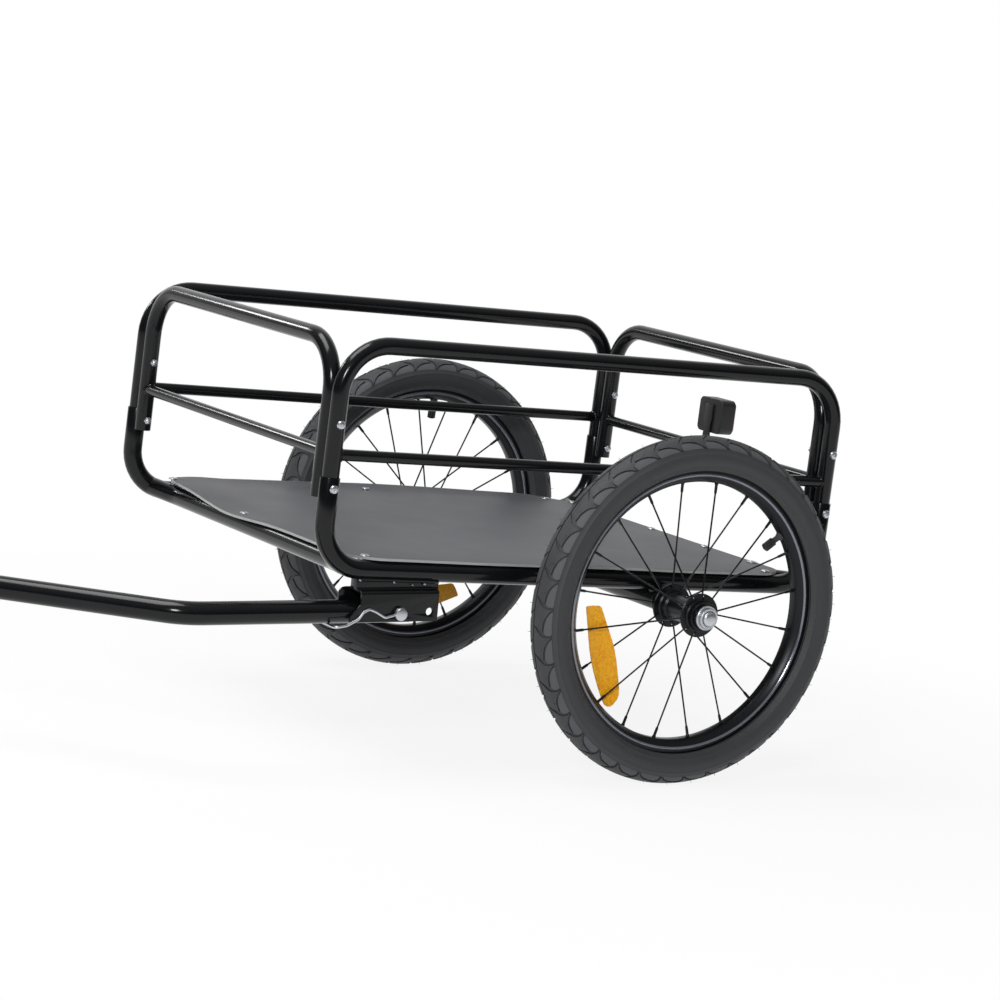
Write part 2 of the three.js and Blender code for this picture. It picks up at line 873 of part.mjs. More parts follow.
function wheelReflectorSolid() {
  const halfOutline = reflectorShares.map(([lengthShare, widthShare]) => [
    reflectorInnerRadius + reflectorWidth * widthShare,
    reflectorHalfLength * lengthShare,
  ]);
  halfOutline.push([reflectorInnerRadius, 0]);
  const middle = reflectorInnerRadius + reflectorWidth * half;
  const outline = mirroredSection(halfOutline).map(([x, z]) => [x - middle, z]);
  const front = -reflectorThickness * half;
  const plate = plateAcross(outline, front, -front);
  const clip = box(
    vector(-reflectorClipWidth * half, -front - overcut, -reflectorClipLength * half),
    vector(reflectorClipWidth * half, -front + reflectorClipDepth, reflectorClipLength * half),
  );
  const geometry = toGeometry(join(plate, clip));
  geometry.rotateY(reflectorLean);
  geometry.translate(middle, 0, 0);
  geometry.rotateY(-reflectorAngle);
  const spokes = [];
  for (let index = 0; index < spokeCount; index += 1) {
    const angle = (2 * Math.PI * (index + half)) / spokeCount;
    if (Math.cos(angle - reflectorAngle) > half * Math.sqrt(3)) {
      spokes.push(spoke(index, gap));
    }
  }
  return cut(toSolid(geometry), ...spokes);
}

// Both wheels are alike: the right one is the left one turned half round on end
sides.forEach((side) => {
  const station = new THREE.Group();
  station.position.set(axleX, side.way * trackHalf, axleZ);
  station.rotation.z = side.way > 0 ? Math.PI : 0;
  trailer.add(station);
  const wheel = new THREE.Group();
  wheel.rotation.y = -side.spin;
  station.add(wheel);
  add(wheel, `${side.name}_tyre`, tyreSolid(), rubber);
  add(wheel, `${side.name}_inner_tube`, innerTubeSolid(), rubber);
  add(wheel, `${side.name}_rim`, rimSolid(), blackAnodised);
  add(wheel, `${side.name}_spoked_hub`, spokedHubSolid(), blackAnodised);
  add(wheel, `${side.name}_outer_bearing`, bearingSolid(-1), brightZinc);
  add(wheel, `${side.name}_inner_bearing`, bearingSolid(1), brightZinc);
  add(wheel, `${side.name}_valve_cap`, valveCapSolid(), blackPlastic);
  add(wheel, `${side.name}_wheel_reflector`, wheelReflectorSolid(), amberPlastic);
  add(station, `${side.name}_stub_axle`, axleSolid(), brightZinc);
  add(station, `${side.name}_release_button`, buttonSolid(), brightZinc);
  add(station, `${side.name}_button_spring`, springSolid(), brightZinc);
});

// A solid with its section in Y and Z, run along X
function beam(outline, fromX, toX) {
  const shape = new THREE.Shape(outline.map(([y, z]) => new THREE.Vector2(y, z)));
  const geometry = new THREE.ExtrudeGeometry(shape, { depth: toX - fromX, bevelEnabled: false });
  geometry.applyMatrix4(new THREE.Matrix4().makeBasis(vector(0, 1, 0), vector(0, 0, 1), vector(1, 0, 0)));
  geometry.translate(fromX, 0, 0);
  return toSolid(geometry);
}

// Rear reflector on its strap
const clamp = turnedRing(
  [
    [clampRadius, -clampWidth * half],
    [clampRadius, clampWidth * half],
    [midBarRadius + gap, clampWidth * half],
    [midBarRadius + gap, -clampWidth * half],
  ],
  tubeSides,
);
const clampGeometry = toGeometry(clamp);
clampGeometry.translate(legX, 0, midBarZ);
const strapPlate = box(
  vector(legX - gap - strapThickness, -clampWidth * half, midBarZ + (clampRadius + midBarRadius) * half),
  vector(legX - gap, clampWidth * half, midBarZ + strapRise),
);
add(trailer, "reflector_strap", join(toSolid(clampGeometry), strapPlate), blackPlastic);

function lampPlate(inset, fromX, toX) {
  const outline = roundedRectangle(lampWidth - 2 * inset, lampHeight - 2 * inset, lampCorner - inset);
  return beam(outline.map(([y, z]) => [y, z + midBarZ + lampRise]), fromX, toX);
}

const lampBack = legX + lampDepth;
const lampShell = cut(lampPlate(0, legX, lampBack), lampPlate(lensBorder, lampBack - lensRecess, lampBack + overcut));
add(trailer, "reflector_housing", lampShell, blackPlastic);
const lensStart = lampBack - lensRecess + gap;
add(trailer, "reflector_lens", lampPlate(lensBorder + gap, lensStart, lensStart + lensThickness), redPlastic);

// Hitch frame: origin on the pin, X along the drawbar to the rear
const hitch = new THREE.Group();
hitch.position.set(pinSetback - legX, -railY, lowerZ - pinDrop);
hitch.rotation.y = -hitchPitch;
trailer.add(hitch);
hitch.updateMatrixWorld(true);

function channelOutline() {
  const outer = bracketWidth * half;
  const inner = outer - bracketPlate;
  const ceiling = bracketTop - bracketPlate;
  const points = [[-inner, -bracketBottom], [-outer, -bracketBottom]];
  for (let step = 0; step <= quarterSteps; step += 1) {
    const angle = (Math.PI * half * step) / quarterSteps;
    const y = outer - bracketCorner + bracketCorner * Math.cos(angle);
    points.push([-y, bracketTop - bracketCorner + bracketCorner * Math.sin(angle)]);
  }
  const mirrored = points.map(([y, z]) => [-y, z]).reverse();
  return [...points, ...mirrored, [inner, ceiling], [-inner, ceiling]];
}

function bracketSolid() {
  const outer = bracketWidth * half;
  const inner = outer - bracketPlate;
  const farFront = -bracketNose - overcut;
  const above = bracketTop + overcut;
  const stepCut = plateAcross(
    [
      [farFront, above],
      [-bracketStep, above],
      [-bracketStep, bracketStepHeight],
      [-bracketNose, -bracketLipHeight],
      [farFront, -bracketLipHeight],
    ],
    -outer - overcut,
    inner,
  );
  const roundCut = [[farFront, above]];
  for (let step = 0; step <= quarterSteps; step += 1) {
    const angle = Math.PI * half * (1 + step / quarterSteps);
    const x = bracketNoseCorner - bracketNose + bracketNoseCorner * Math.cos(angle);
    roundCut.push([x, bracketTop - bracketNoseCorner + bracketNoseCorner * Math.sin(angle)]);
  }
  const neck = box(
    vector(-neckFront, -neckWidth * half, bracketTop - neckOverlap),
    vector(neckRear, neckWidth * half, pinDrop),
  );
  const railFrom = hitch.worldToLocal(vector(-legX, -railY, lowerZ));
  const railTo = hitch.worldToLocal(vector(legX, -railY, lowerZ));
  const holes = [
    [0, 0],
    [spareHoleX, spareHoleZ],
  ].map(([x, z]) => drill(vector(x, -outer - overcut, z), vector(x, outer + overcut, z), pinRadius));
  return cut(
    join(beam(channelOutline(), -bracketNose, bracketRear), neck),
    stepCut,
    plateAcross(roundCut, inner, outer + overcut),
    rod(railFrom, railTo, lowerRadius + gap, tubeSides),
    ...holes,
  );
}

add(hitch, "hitch_bracket", bracketSolid(), blackPaint);

const couplingX = -(drawbarRun + drawbarShift + drawbarFront);
const drawbarCorners = [
  vector(drawbarTail, 0, 0),
  vector(-drawbarRun, 0, 0),
  vector(-drawbarRun - drawbarShift, drawbarShift, 0),
  vector(couplingX, drawbarShift, 0),
];
const drawbarTube = bentTube(drawbarCorners, drawbarBend, drawbarRadius, drawbarBore);
const plugBore = rod(
  vector(couplingX - overcut, drawbarShift, 0),
  vector(couplingX + plugLength + gap, drawbarShift, 0),
  drawbarBore,
  tubeSides,
);
const pinBore = drill(vector(0, -bracketWidth, 0), vector(0, bracketWidth, 0), pinRadius);
add(hitch, "drawbar", cut(drawbarTube, plugBore, pinBore), blackPaint);

const eyeInside = bracketWidth * half + gap;
const eyeOutside = eyeInside + eyeThickness;
const pinSeat = eyeOutside + gap;
const pinProfile = [
  [0, -pinSeat - pinHeadThickness],
  [pinHeadRadius - overcut, -pinSeat - pinHeadThickness],
  [pinHeadRadius, -pinSeat - pinHeadThickness + overcut],
  [pinHeadRadius, -pinSeat],
  [pinRadius, -pinSeat],
  [pinRadius, pinSeat + pinTail - overcut],
  [pinRadius - overcut, pinSeat + pinTail],
  [0, pinSeat + pinTail],
];
add(hitch, "hitch_pin", turned(pinProfile, tubeSides), brightZinc);

function bailSolid() {
  const eyeBore = (pinRadius + gap) / Math.cos(Math.PI / tubeSides);
  const eyes = [-1, 1].map((way) =>
    turnedRing(
      [
        [eyeBore, way * eyeInside],
        [eyeBore + eyeRim, way * eyeInside],
        [eyeBore + eyeRim, way * eyeOutside],
        [eyeBore, way * eyeOutside],
      ],
      tubeSides,
    ),
  );
  const armY = (eyeInside + eyeOutside) * half;
  const front = vector(-bailReach, 0, -bailDrop);
  const root = front.clone().setLength(eyeBore + eyeRim * half);
  const corners = [
    vector(root.x, -armY, root.z),
    vector(front.x, -armY, front.z),
    vector(front.x, armY, front.z),
    vector(root.x, armY, root.z),
  ];
  return join(sweep(new BentPath(corners, bailBend), bailWire, wireSides), ...eyes);
}

add(hitch, "pin_bail", bailSolid(), brightZinc);

// Coupling: tongue on the drawbar, yoke on an upright pin, axle plate on a cross pin
const coupling = new THREE.Group();
coupling.position.set(couplingX, drawbarShift, 0);
hitch.add(coupling);
const collarFront = -(gap + collarLength);
const yawX = collarFront - forkRadius - forkClearance;
const webBack = yawX - tongueRadius - forkClearance;
const webFront = webBack - forkWeb;
const pitchX = webFront - lugReach;
const tongueHalf = tongueThickness * half;
const forkInside = tongueHalf + gap;
const forkOutside = forkInside + forkPlate;

// The outline of a strip with a round end about a pivot and a square end at another place
function stripOutline(pivot, radius, squareEnd) {
  const way = Math.sign(squareEnd - pivot);
  const points = [[squareEnd, -radius]];
  for (let step = 0; step <= tubeSides * half; step += 1) {
    const angle = (Math.PI * step) / (tubeSides * half) - Math.PI * half;
    points.push([pivot - way * radius * Math.cos(angle), radius * Math.sin(angle)]);
  }
  points.push([squareEnd, radius]);
  return points;
}

function plateFlat(outline, fromZ, toZ) {
  const shape = new THREE.Shape(outline.map(([x, y]) => new THREE.Vector2(x, y)));
  const geometry = new THREE.ExtrudeGeometry(shape, { depth: toZ - fromZ, bevelEnabled: false });
  geometry.translate(0, 0, fromZ);
  return toSolid(geometry);
}

const uprightBore = drill(vector(yawX, 0, -bracketWidth), vector(yawX, 0, bracketWidth), couplingPinRadius);
const crossBore = drill(vector(pitchX, -bracketWidth, 0), vector(pitchX, bracketWidth, 0), couplingPinRadius);

const plug = rod(vector(plugLength, 0, 0), vector(collarFront, 0, 0), drawbarBore - gap, tubeSides);
const collar = rod(vector(-gap, 0, 0), vector(collarFront, 0, 0), drawbarRadius, tubeSides);
const tongueRoot = collarFront + collarLength * half;
const tongue = plateFlat(stripOutline(yawX, tongueRadius, tongueRoot), -tongueHalf, tongueHalf);
add(coupling, "coupling_tongue", cut(join(plug, collar, tongue), uprightBore), brightZinc);

const forkOutline = stripOutline(yawX, forkRadius, webFront);
const fork = join(
  plateFlat(forkOutline, forkInside, forkOutside),
  plateFlat(forkOutline, -forkOutside, -forkInside),
  box(vector(webFront, -forkRadius, -forkOutside), vector(webBack, forkRadius, forkOutside)),
);
const lug = plateAcross(stripOutline(pitchX, forkOutside, webFront + forkWeb * half), -tongueHalf, tongueHalf);
add(coupling, "coupling_yoke", cut(join(fork, lug), uprightBore, crossBore), blackPaint);

function couplingPin(headSeat, end) {
  return [
    [0, -headSeat - couplingHeadThickness],
    [couplingHeadRadius, -headSeat - couplingHeadThickness],
    [couplingHeadRadius, -headSeat],
    [couplingPinRadius, -headSeat],
    [couplingPinRadius, end],
    [0, end],
  ];
}

const uprightProfile = couplingPin(forkOutside + gap, forkOutside + couplingTail);
const uprightPin = turnedAlong(uprightProfile, vector(yawX, 0, 0), vector(0, 0, -1), tubeSides);
add(coupling, "upright_pin", uprightPin, brightZinc);
const plateInside = tongueHalf + gap;
const plateOutside = plateInside + plateThickness;
const crossProfile = couplingPin(tongueHalf + gap, plateOutside + couplingTail);
const crossPin = turnedAlong(crossProfile, vector(pitchX, 0, 0), vector(0, 1, 0), tubeSides);
add(coupling, "cross_pin", crossPin, brightZinc);

const pivotCircle = { x: pitchX, z: 0, radius: platePivotRadius };
const endCircle = { x: pitchX - plateReach, z: plateRise, radius: plateEndRadius };
const axlePlate = plateAcross(linkOutline(pivotCircle, endCircle), plateInside, plateOutside, [
  { x: endCircle.x, z: endCircle.z, radius: plateHoleRadius },
]);
add(coupling, "axle_plate", cut(axlePlate, crossBore), brightZinc);

export default trailer;
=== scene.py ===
"""A cargo trailer for a bicycle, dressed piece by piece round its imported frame."""

import json
import math
from types import SimpleNamespace

import bpy
from bpy.props import FloatProperty, FloatVectorProperty, PointerProperty
from mathutils import Matrix, Vector


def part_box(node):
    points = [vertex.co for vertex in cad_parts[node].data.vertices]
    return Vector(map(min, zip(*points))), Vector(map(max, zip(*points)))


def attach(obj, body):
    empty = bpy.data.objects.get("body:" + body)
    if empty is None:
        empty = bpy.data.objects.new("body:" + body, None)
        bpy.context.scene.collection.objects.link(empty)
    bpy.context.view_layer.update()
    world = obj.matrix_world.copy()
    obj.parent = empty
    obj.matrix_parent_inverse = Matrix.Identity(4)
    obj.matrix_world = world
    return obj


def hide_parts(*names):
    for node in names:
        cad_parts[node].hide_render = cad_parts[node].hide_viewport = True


bl_info = {
    "name": "Cargo bike trailer",
    "version": (1, 0, 0),
    "blender": (4, 5, 0),
    "location": "View3D > Sidebar > Trailer",
    "description": "Builds a tube-framed cargo trailer for a bicycle, piece by piece",
    "category": "Add Mesh",
}

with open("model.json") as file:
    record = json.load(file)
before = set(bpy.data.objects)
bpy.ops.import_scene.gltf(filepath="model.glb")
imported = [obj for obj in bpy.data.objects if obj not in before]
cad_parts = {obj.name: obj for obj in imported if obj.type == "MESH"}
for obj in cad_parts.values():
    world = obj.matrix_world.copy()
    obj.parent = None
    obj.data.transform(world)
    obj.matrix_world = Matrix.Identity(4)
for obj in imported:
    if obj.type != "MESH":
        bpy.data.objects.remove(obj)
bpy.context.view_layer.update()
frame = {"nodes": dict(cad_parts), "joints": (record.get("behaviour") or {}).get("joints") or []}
JOINTS = {joint["name"]: joint for joint in frame["joints"]}
HUB_AT = Vector(JOINTS["left_wheel_spin"]["pos_m"])
PIN_AT = Vector(JOINTS["bail_swing"]["pos_m"])

MM = 0.001
X = Vector((1, 0, 0))
Y = Vector((0, 1, 0))
Z = Vector((0, 0, 1))
ENDS = (("front", -1), ("rear", 1))
SIDES = (("left", -1), ("right", 1))


def linear(code):
    """An sRGB hex colour as linear red, green and blue"""
    shares = [int(code[i : i + 2], 16) / 255 for i in (1, 3, 5)]
    return tuple(s / 12.92 if s <= 0.04045 else ((s + 0.055) / 1.055) ** 2.4 for s in shares)


def mm(*values):
    """A point given in millimetres"""
    return Vector(values) * MM


def in_mm(pairs, base=(0, 0), way=1):
    """Pairs of millimetres in metres, counted from a base; a way of -1 mirrors the second"""
    return [(base[0] + first * MM, base[1] + way * second * MM) for first, second in pairs]


# Settings that a user would change


def size(label, about, value):
    return FloatProperty(
        name=label, description=about, default=value, min=0, unit="LENGTH", precision=4
    )


def turn(label, about, degrees):
    return FloatProperty(
        name=label, description=about, default=math.radians(degrees), unit="ROTATION"
    )


def colour(label, about, code):
    return FloatVectorProperty(
        name=label, description=about, default=linear(code), size=3, min=0, max=1, subtype="COLOR"
    )


class CageSizes(bpy.types.PropertyGroup):
    length: size("Length", "Between the front and rear leg axes", 0.650)
    width: size("Width", "Between the two side tube axes", 0.494)
    rail_rise: size("Rail rise", "Top rail above the lower tube", 0.242)
    bar_rise: size("Bar rise", "Middle bar above the lower tube", 0.1225)
    hoop_foot: size("Hoop foot", "Where the hoop legs end inside the sleeves", 0.059)
    sleeve_rise: size("Sleeve rise", "Where the lower tube's upright ends stop", 0.098)
    panel_foot: size("Panel foot", "Where the end panel's legs stop", 0.074)
    upper_bolt: size("Upper bolt", "Upper bolt above the lower tube", 0.1555)
    lower_bolt: size("Lower bolt", "Lower bolt above the lower tube", 0.0865)
    hoop_radius: size("Hoop radius", "Half the diameter of hoops and panels", 0.0095)
    lower_radius: size("Lower tube radius", "Half the diameter of the lower tubes", 0.011)
    bar_radius: size("Bar radius", "Half the diameter of the middle bars", 0.00635)
    wall: size("Wall", "Thickness of the tube walls", 0.0012)
    hoop_bend: size("Hoop bend", "Bend radius of hoops and panels", 0.055)
    lower_bend: size("Lower bend", "Bend radius of the lower tubes", 0.050)
    crossbar_bend: size("Crossbar bend", "Bend radius at the crossbar ends", 0.060)
    crossbar_reach: size("Crossbar reach", "From the side tube to the crossbar's bend", 0.047)
    crossbar_inset: size("Crossbar inset", "From the board's end to the crossbar's axis", 0.009)
    crossbar_climb: turn("Crossbar climb", "How far up the side tube's bend it meets the tube", 24)


class DeckSizes(bpy.types.PropertyGroup):
    length: size("Length", "Board along the trailer", 0.578)
    width: size("Width", "Board across the trailer", 0.512)
    corner: size("Corner", "Radius of the board's left corners", 0.042)
    far_corner: size("Right corner", "Radius of the board's right corners", 0.068)
    thickness: size("Thickness", "Thickness of the board", 0.003)
    sag: size("Sag", "How far the middle hangs below the edges", 0.0016)
    lift: size("Corner lift", "How far the front right corner stands up", 0.004)
    droop: size("Front droop", "How far the front edge hangs in the middle", 0.0035)
    bulge: size("Front bulge", "How far the front edge reaches out where it hangs", 0.009)
    curl: size("Right edge curl", "How far the right edge turns up", 0.005)
    screw_radius: size("Screw head radius", "Half the diameter of a pan head", 0.0052)


class WheelSizes(bpy.types.PropertyGroup):
    seat_radius: size("Bead seat radius", "Half the rim's bead seat diameter", 0.155)
    tyre_radius: size("Tyre radius", "Half the tyre's outside diameter", 0.198)
    tyre_middle: size("Section centre", "Radius of the widest place of the tyre", 0.1752)
    tyre_half: size("Tyre half width", "Half the tyre's width", 0.0236)
    groove: size("Groove depth", "Depth of the tread grooves", 0.0016)
    rim_inner: size("Rim inner radius", "Radius of the rim's face towards the hub", 0.1467)
    rim_half: size("Rim half width", "Half the rim's width", 0.0125)
    flange_radius: size("Flange radius", "Radius of the hub flanges", 0.0248)
    flange_station: size("Flange station", "Flange from the wheel's middle plane", 0.0275)
    spoke_circle: size("Spoke circle", "Radius of the spoke holes", 0.0203)
    spoke_radius: size("Spoke radius", "Half the diameter of a spoke", 0.001)
    hub_half: size("Hub half length", "From the wheel's middle plane to the hub's end", 0.038)
    left_spin: turn("Left wheel turn", "Where the left wheel stands", 37.5)
    right_spin: turn("Right wheel turn", "Where the right wheel stands", 92)


class HitchSizes(bpy.types.PropertyGroup):
    pitch: turn("Pitch", "Slope of the drawbar", 2.2)
    bracket_width: size("Bracket width", "Across the folded bracket", 0.032)
    bracket_length: size("Bracket length", "Along the folded bracket", 0.1075)
    bracket_plate: size("Bracket plate", "Thickness of the bracket", 0.003)
    bar_radius: size("Drawbar radius", "Half the diameter of the drawbar", 0.0127)
    bar_wall: size("Drawbar wall", "Thickness of the drawbar's wall", 0.002)
    bar_bend: size("Drawbar bend", "Bend radius of the drawbar", 0.055)
    bar_run: size("Drawbar run", "From the pin to the first bend", 0.248)
    bar_shift: size("Drawbar shift", "How far the drawbar moves sideways", 0.162)
    bar_front: size("Drawbar front", "From the second bend to the coupling", 0.266)
    wire_radius: size("Bail wire radius", "Half the diameter of the bail's wire", 0.0016)


class TrailerColours(bpy.types.PropertyGroup):
    paint: colour("Paint", "Powder coat on the tubes", "#0d0e10")
    board: colour("Board", "Film on the deck board", "#58595d")
    # The board's edge colours are its own pale fibre, made paler still as a painted highlight along the
    # edge
    edge: colour("Board edge", "Sawn and sealed edge of the deck board", "#8a8b8c")
    edge_highlight_tone: colour("Board edge, light", "Paler fibres of the board's edge", "#b4b5b5")
    tyre: colour("Tyre", "Rubber of the tyres", "#36373a")
    anodising: colour("Anodising", "Rims and hubs", "#1d1e21")
    zinc: colour("Zinc", "Bolts, screws, pins and axles", "#c9ccd1")
    plastic: colour("Plastic", "Black moulded parts", "#18181a")
    amber: colour("Amber", "Wheel reflectors", "#ffa812")
    red: colour("Red", "Rear reflector", "#a3121b")


def places(scene):
    """Places that follow from the cage sizes and from the frame's joints"""
    cage = scene.trailer_cage
    gap = 0.3 * MM
    lower_z = -(scene.trailer_deck.thickness + gap + cage.lower_radius)
    return SimpleNamespace(
        lower_z=lower_z,
        leg_x=cage.length / 2,
        rail_y=cage.width / 2,
        panel_y=cage.width / 2 - cage.lower_radius - cage.hoop_radius - gap,
        rail_z=lower_z + cage.rail_rise,
        bar_z=lower_z + cage.bar_rise,
        floor_z=HUB_AT.z - scene.trailer_wheel.tyre_radius,
    )


# Workshop: how pieces are started, shaped and finished


def clear_bench():
    if bpy.context.mode != "OBJECT":
        bpy.ops.object.mode_set(mode="OBJECT")
    bpy.ops.object.select_all(action="DESELECT")


def claim(name):
    """Names the new primitive and sets its place into its mesh"""
    piece = bpy.context.object
    piece.name = name
    bpy.ops.object.transform_apply(location=True, rotation=True, scale=True)
    return piece


def take_up(piece, edit=False):
    clear_bench()
    bpy.context.view_layer.objects.active = piece
    piece.select_set(True)
    if edit:
        bpy.ops.object.mode_set(mode="EDIT")
        bpy.ops.mesh.select_mode(type="VERT")
        bpy.ops.mesh.select_all(action="SELECT")


def pull(offset):
    bpy.ops.mesh.extrude_region_move(TRANSFORM_OT_translate={"value": offset})


def close_seams():
    """Merges what meets, turns all faces outwards and leaves edit mode"""
    bpy.ops.mesh.select_all(action="SELECT")
    bpy.ops.mesh.remove_doubles(threshold=1e-6)
    bpy.ops.mesh.normals_make_consistent(inside=False)
    bpy.ops.object.mode_set(mode="OBJECT")


def score(axis, stations):
    """Divides the sheet on the bench along planes at stations on an axis"""
    for station in stations:
        bpy.ops.mesh.select_all(action="SELECT")
        bpy.ops.mesh.bisect(plane_co=axis * station, plane_no=axis)
    bpy.ops.mesh.select_all(action="SELECT")


def apply_modifier(piece, kind, **settings):
    take_up(piece)
    modifier = piece.modifiers.new(kind.title(), kind)
    for key, value in settings.items():
        setattr(modifier, key, value)
    bpy.ops.object.modifier_apply(modifier=modifier.name)


def soften(piece, width, angle=40, steps=2):
    """Rounds the edges that are sharper than an angle in degrees"""
    limit = math.radians(angle)
    apply_modifier(
        piece, "BEVEL", width=width, segments=steps, limit_method="ANGLE", angle_limit=limit
    )


def cut_with(piece, tool):
    apply_modifier(piece, "BOOLEAN", operation="DIFFERENCE", solver="EXACT", object=tool)
    bpy.data.objects.remove(tool)


def join_all(pieces, name):
    clear_bench()
    for piece in pieces:
        piece.select_set(True)
    bpy.context.view_layer.objects.active = pieces[0]
    if len(pieces) > 1:
        bpy.ops.object.join()
    pieces[0].name = name
    return pieces[0]


def copy_to(piece, place, name):
    """A copy with its own mesh, moved by a matrix"""
    made = piece.copy()
    made.data = piece.data.copy()
    made.data.transform(place)
    made.name = name
    bpy.context.scene.collection.objects.link(made)
    return made


def repeat_round(piece, count, axis=Y):
    """Copies of a piece's mesh at even steps round an axis through the origin"""
    take_up(piece, edit=True)
    reach = 2 * math.pi * (count - 1) / count
    bpy.ops.mesh.spin(steps=count - 1, dupli=True, angle=reach, center=Vector(), axis=axis)
    bpy.ops.object.mode_set(mode="OBJECT")


def facing(axis):
    """How a primitive is turned so that its own axis lies along another"""
    return Vector(axis).to_track_quat("Z", "Y").to_euler()


def drill(spot, axis, radius, length, sides=32):
    """A round bar, ready to be cut out of a piece"""
    clear_bench()
    bpy.ops.mesh.primitive_cylinder_add(
        vertices=sides, radius=radius, depth=length, location=spot, rotation=facing(axis)
    )
    return claim("drill")


def draw(name, points):
    """A closed line through points, drawn by pulling one vertex along; stays in edit mode"""
    clear_bench()
    points = [Vector(point) for point in points]
    bpy.ops.mesh.primitive_circle_add(vertices=3, radius=MM, location=points[0])
    piece = claim(name)
    take_up(piece, edit=True)
    bpy.ops.mesh.merge(type="CENTER")
    for here, there in zip(points, points[1:] + points[:1]):
        pull(there - here)
    bpy.ops.mesh.select_all(action="SELECT")
    bpy.ops.mesh.remove_doubles(threshold=1e-6)
    return piece


def cut_plate(name, outline, thickness):
    """A flat outline, filled and given a thickness"""
    piece = draw(name, outline)
    bpy.ops.mesh.edge_face_add()
    pull(thickness)
    close_seams()
    return piece


def cut_across(axis, name, pairs, start, depth, base=(0, 0, 0)):
    """A plate in millimetres from a base: its outline lies across an axis, its depth along it"""
    spot = "XYZ".index(axis)
    points = [Vector(base) + mm(*pair[:spot], start, *pair[spot:]) for pair in pairs]
    return cut_plate(name, points, (X, Y, Z)[spot] * depth * MM)


def ring_of(pairs):
    """Half a section as (radius, across) pairs, with its mirror image"""
    return pairs + [(r, -y) for r, y in reversed(pairs) if abs(y) > 1e-9]


def turn_on_lathe(name, pairs, centre=Vector(), axis=Y, steps=48):
    """A closed outline of (radius, station) pairs in metres, spun about an axis"""
    axis = Vector(axis).normalized()
    centre = Vector(centre)
    across = axis.orthogonal().normalized()
    outline = [centre + across * radius + axis * station for radius, station in pairs]
    piece = draw(name, outline)
    bpy.ops.mesh.spin(steps=steps, angle=2 * math.pi, center=centre, axis=axis)
    close_seams()
    return piece


# The turn in degrees between two rings of a bend
BEND_STEP = 7.5


def pull_tube(name, corners, bend, radius, wall=0, sides=36, lip=0.4 * MM):
    """A round tube, or a bar where the wall is zero, through straight runs and round bends"""
    corners = [Vector(corner) for corner in corners]
    clear_bench()
    along = (corners[1] - corners[0]).normalized()
    bpy.ops.mesh.primitive_circle_add(
        vertices=sides, radius=radius, location=corners[0], rotation=facing(along)
    )
    tube = claim(name)
    take_up(tube, edit=True)
    reached = corners[0]
    for before, corner, after in zip(corners, corners[1:], corners[2:]):
        along = (corner - before).normalized()
        away = (after - corner).normalized()
        angle = along.angle(away)
        if angle < 1e-4:
            continue
        inward = (away - along * along.dot(away)).normalized()
        setback = bend * math.tan(angle / 2)
        begin = corner - along * setback
        pull(begin - reached)
        steps = max(2, round(math.degrees(angle) / BEND_STEP))
        middle = begin + inward * bend
        bpy.ops.mesh.spin(steps=steps, angle=angle, center=middle, axis=away.cross(along))
        reached = corner + away * setback
    pull(corners[-1] - reached)
    bpy.ops.mesh.select_all(action="SELECT")
    if not wall:
        bpy.ops.mesh.fill_holes(sides=0)
    close_seams()
    if wall:
        apply_modifier(tube, "SOLIDIFY", thickness=wall, offset=-1)
    if lip:
        soften(tube, lip, angle=60)
    return tube


def weld_bead(name, centre, bar_axis, bar_radius, host_radius):
    """A rippled bead where a level bar meets an upright tube"""
    bead, ripple, ripples = 1.5 * MM, 0.25 * MM, 12
    clear_bench()
    bpy.ops.mesh.primitive_torus_add(
        location=centre,
        rotation=facing(bar_axis),
        major_segments=48,
        minor_segments=8,
        major_radius=bar_radius,
        minor_radius=bead,
    )
    piece = claim(name)
    sideways = bar_axis.cross(Z).normalized()
    for vertex in piece.data.vertices:
        offset = vertex.co - centre
        across = offset.dot(sideways)
        around = math.atan2(across, offset.z)
        reach = math.sqrt(max(host_radius**2 - across**2, 0))
        vertex.co += bar_axis * (reach + ripple * math.sin(ripples * around))
    return piece


def hand_over(piece, body, slot, finish, *nodes, angle=32):
    """Finishes a piece: shading, material, the body it rides on and the nodes it stands for"""
    take_up(piece)
    bpy.ops.object.shade_smooth_by_angle(angle=math.radians(angle))
    if not piece.data.materials:
        piece.data.materials.append(finish)
    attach(piece, body)
    if nodes:
        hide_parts(*nodes)
    return piece


def mark_where(piece, finish, test):
    """Gives a second finish to the faces that pass a test of centre and normal"""
    piece.data.materials.append(finish)
    index = len(piece.data.materials) - 1
    for face in piece.data.polygons:
        if test(face.center, face.normal):
            face.material_index = index


def arc(centre, radius, start, stop, steps):
    """Points on an arc in a plane, from one angle to another"""
    angles = [start + (stop - start) * step / steps for step in range(steps + 1)]
    x, y = centre
    return [(x + radius * math.cos(angle), y + radius * math.sin(angle)) for angle in angles]


def rounded(width, height, corner, steps=8):
    """Points round a rectangle with round corners, about its middle"""
    points = []
    for quarter, (right, up) in enumerate(((1, 1), (-1, 1), (-1, -1), (1, -1))):
        middle = (right * (width / 2 - corner), up * (height / 2 - corner))
        start = math.pi / 2 * quarter
        points += arc(middle, corner, start, start + math.pi / 2, steps)
    return points


def hexagon(radius):
    return arc((0, 0), radius, 0, 2 * math.pi, 6)[:-1]


# Finishes


def node(tree, kind, settings=None, links=None):
    """Adds a node, sets its properties and sockets, and links what feeds it"""
    made = tree.nodes.new(kind)
    for key, value in (settings or {}).items():
        if isinstance(key, int) or key in made.inputs:
            made.inputs[key].default_value = value
        else:
            setattr(made, key, value)
    for key, source in (links or {}).items():
        tree.links.new(source, made.inputs[key])
    return made


def open_finish(name):
    """A new material, its node tree and the object's own coordinates"""
    material = bpy.data.materials.new(name)
    material.use_nodes = True
    tree = material.node_tree
    tree.nodes.clear()
    return material, tree, node(tree, "ShaderNodeTexCoord").outputs["Object"]


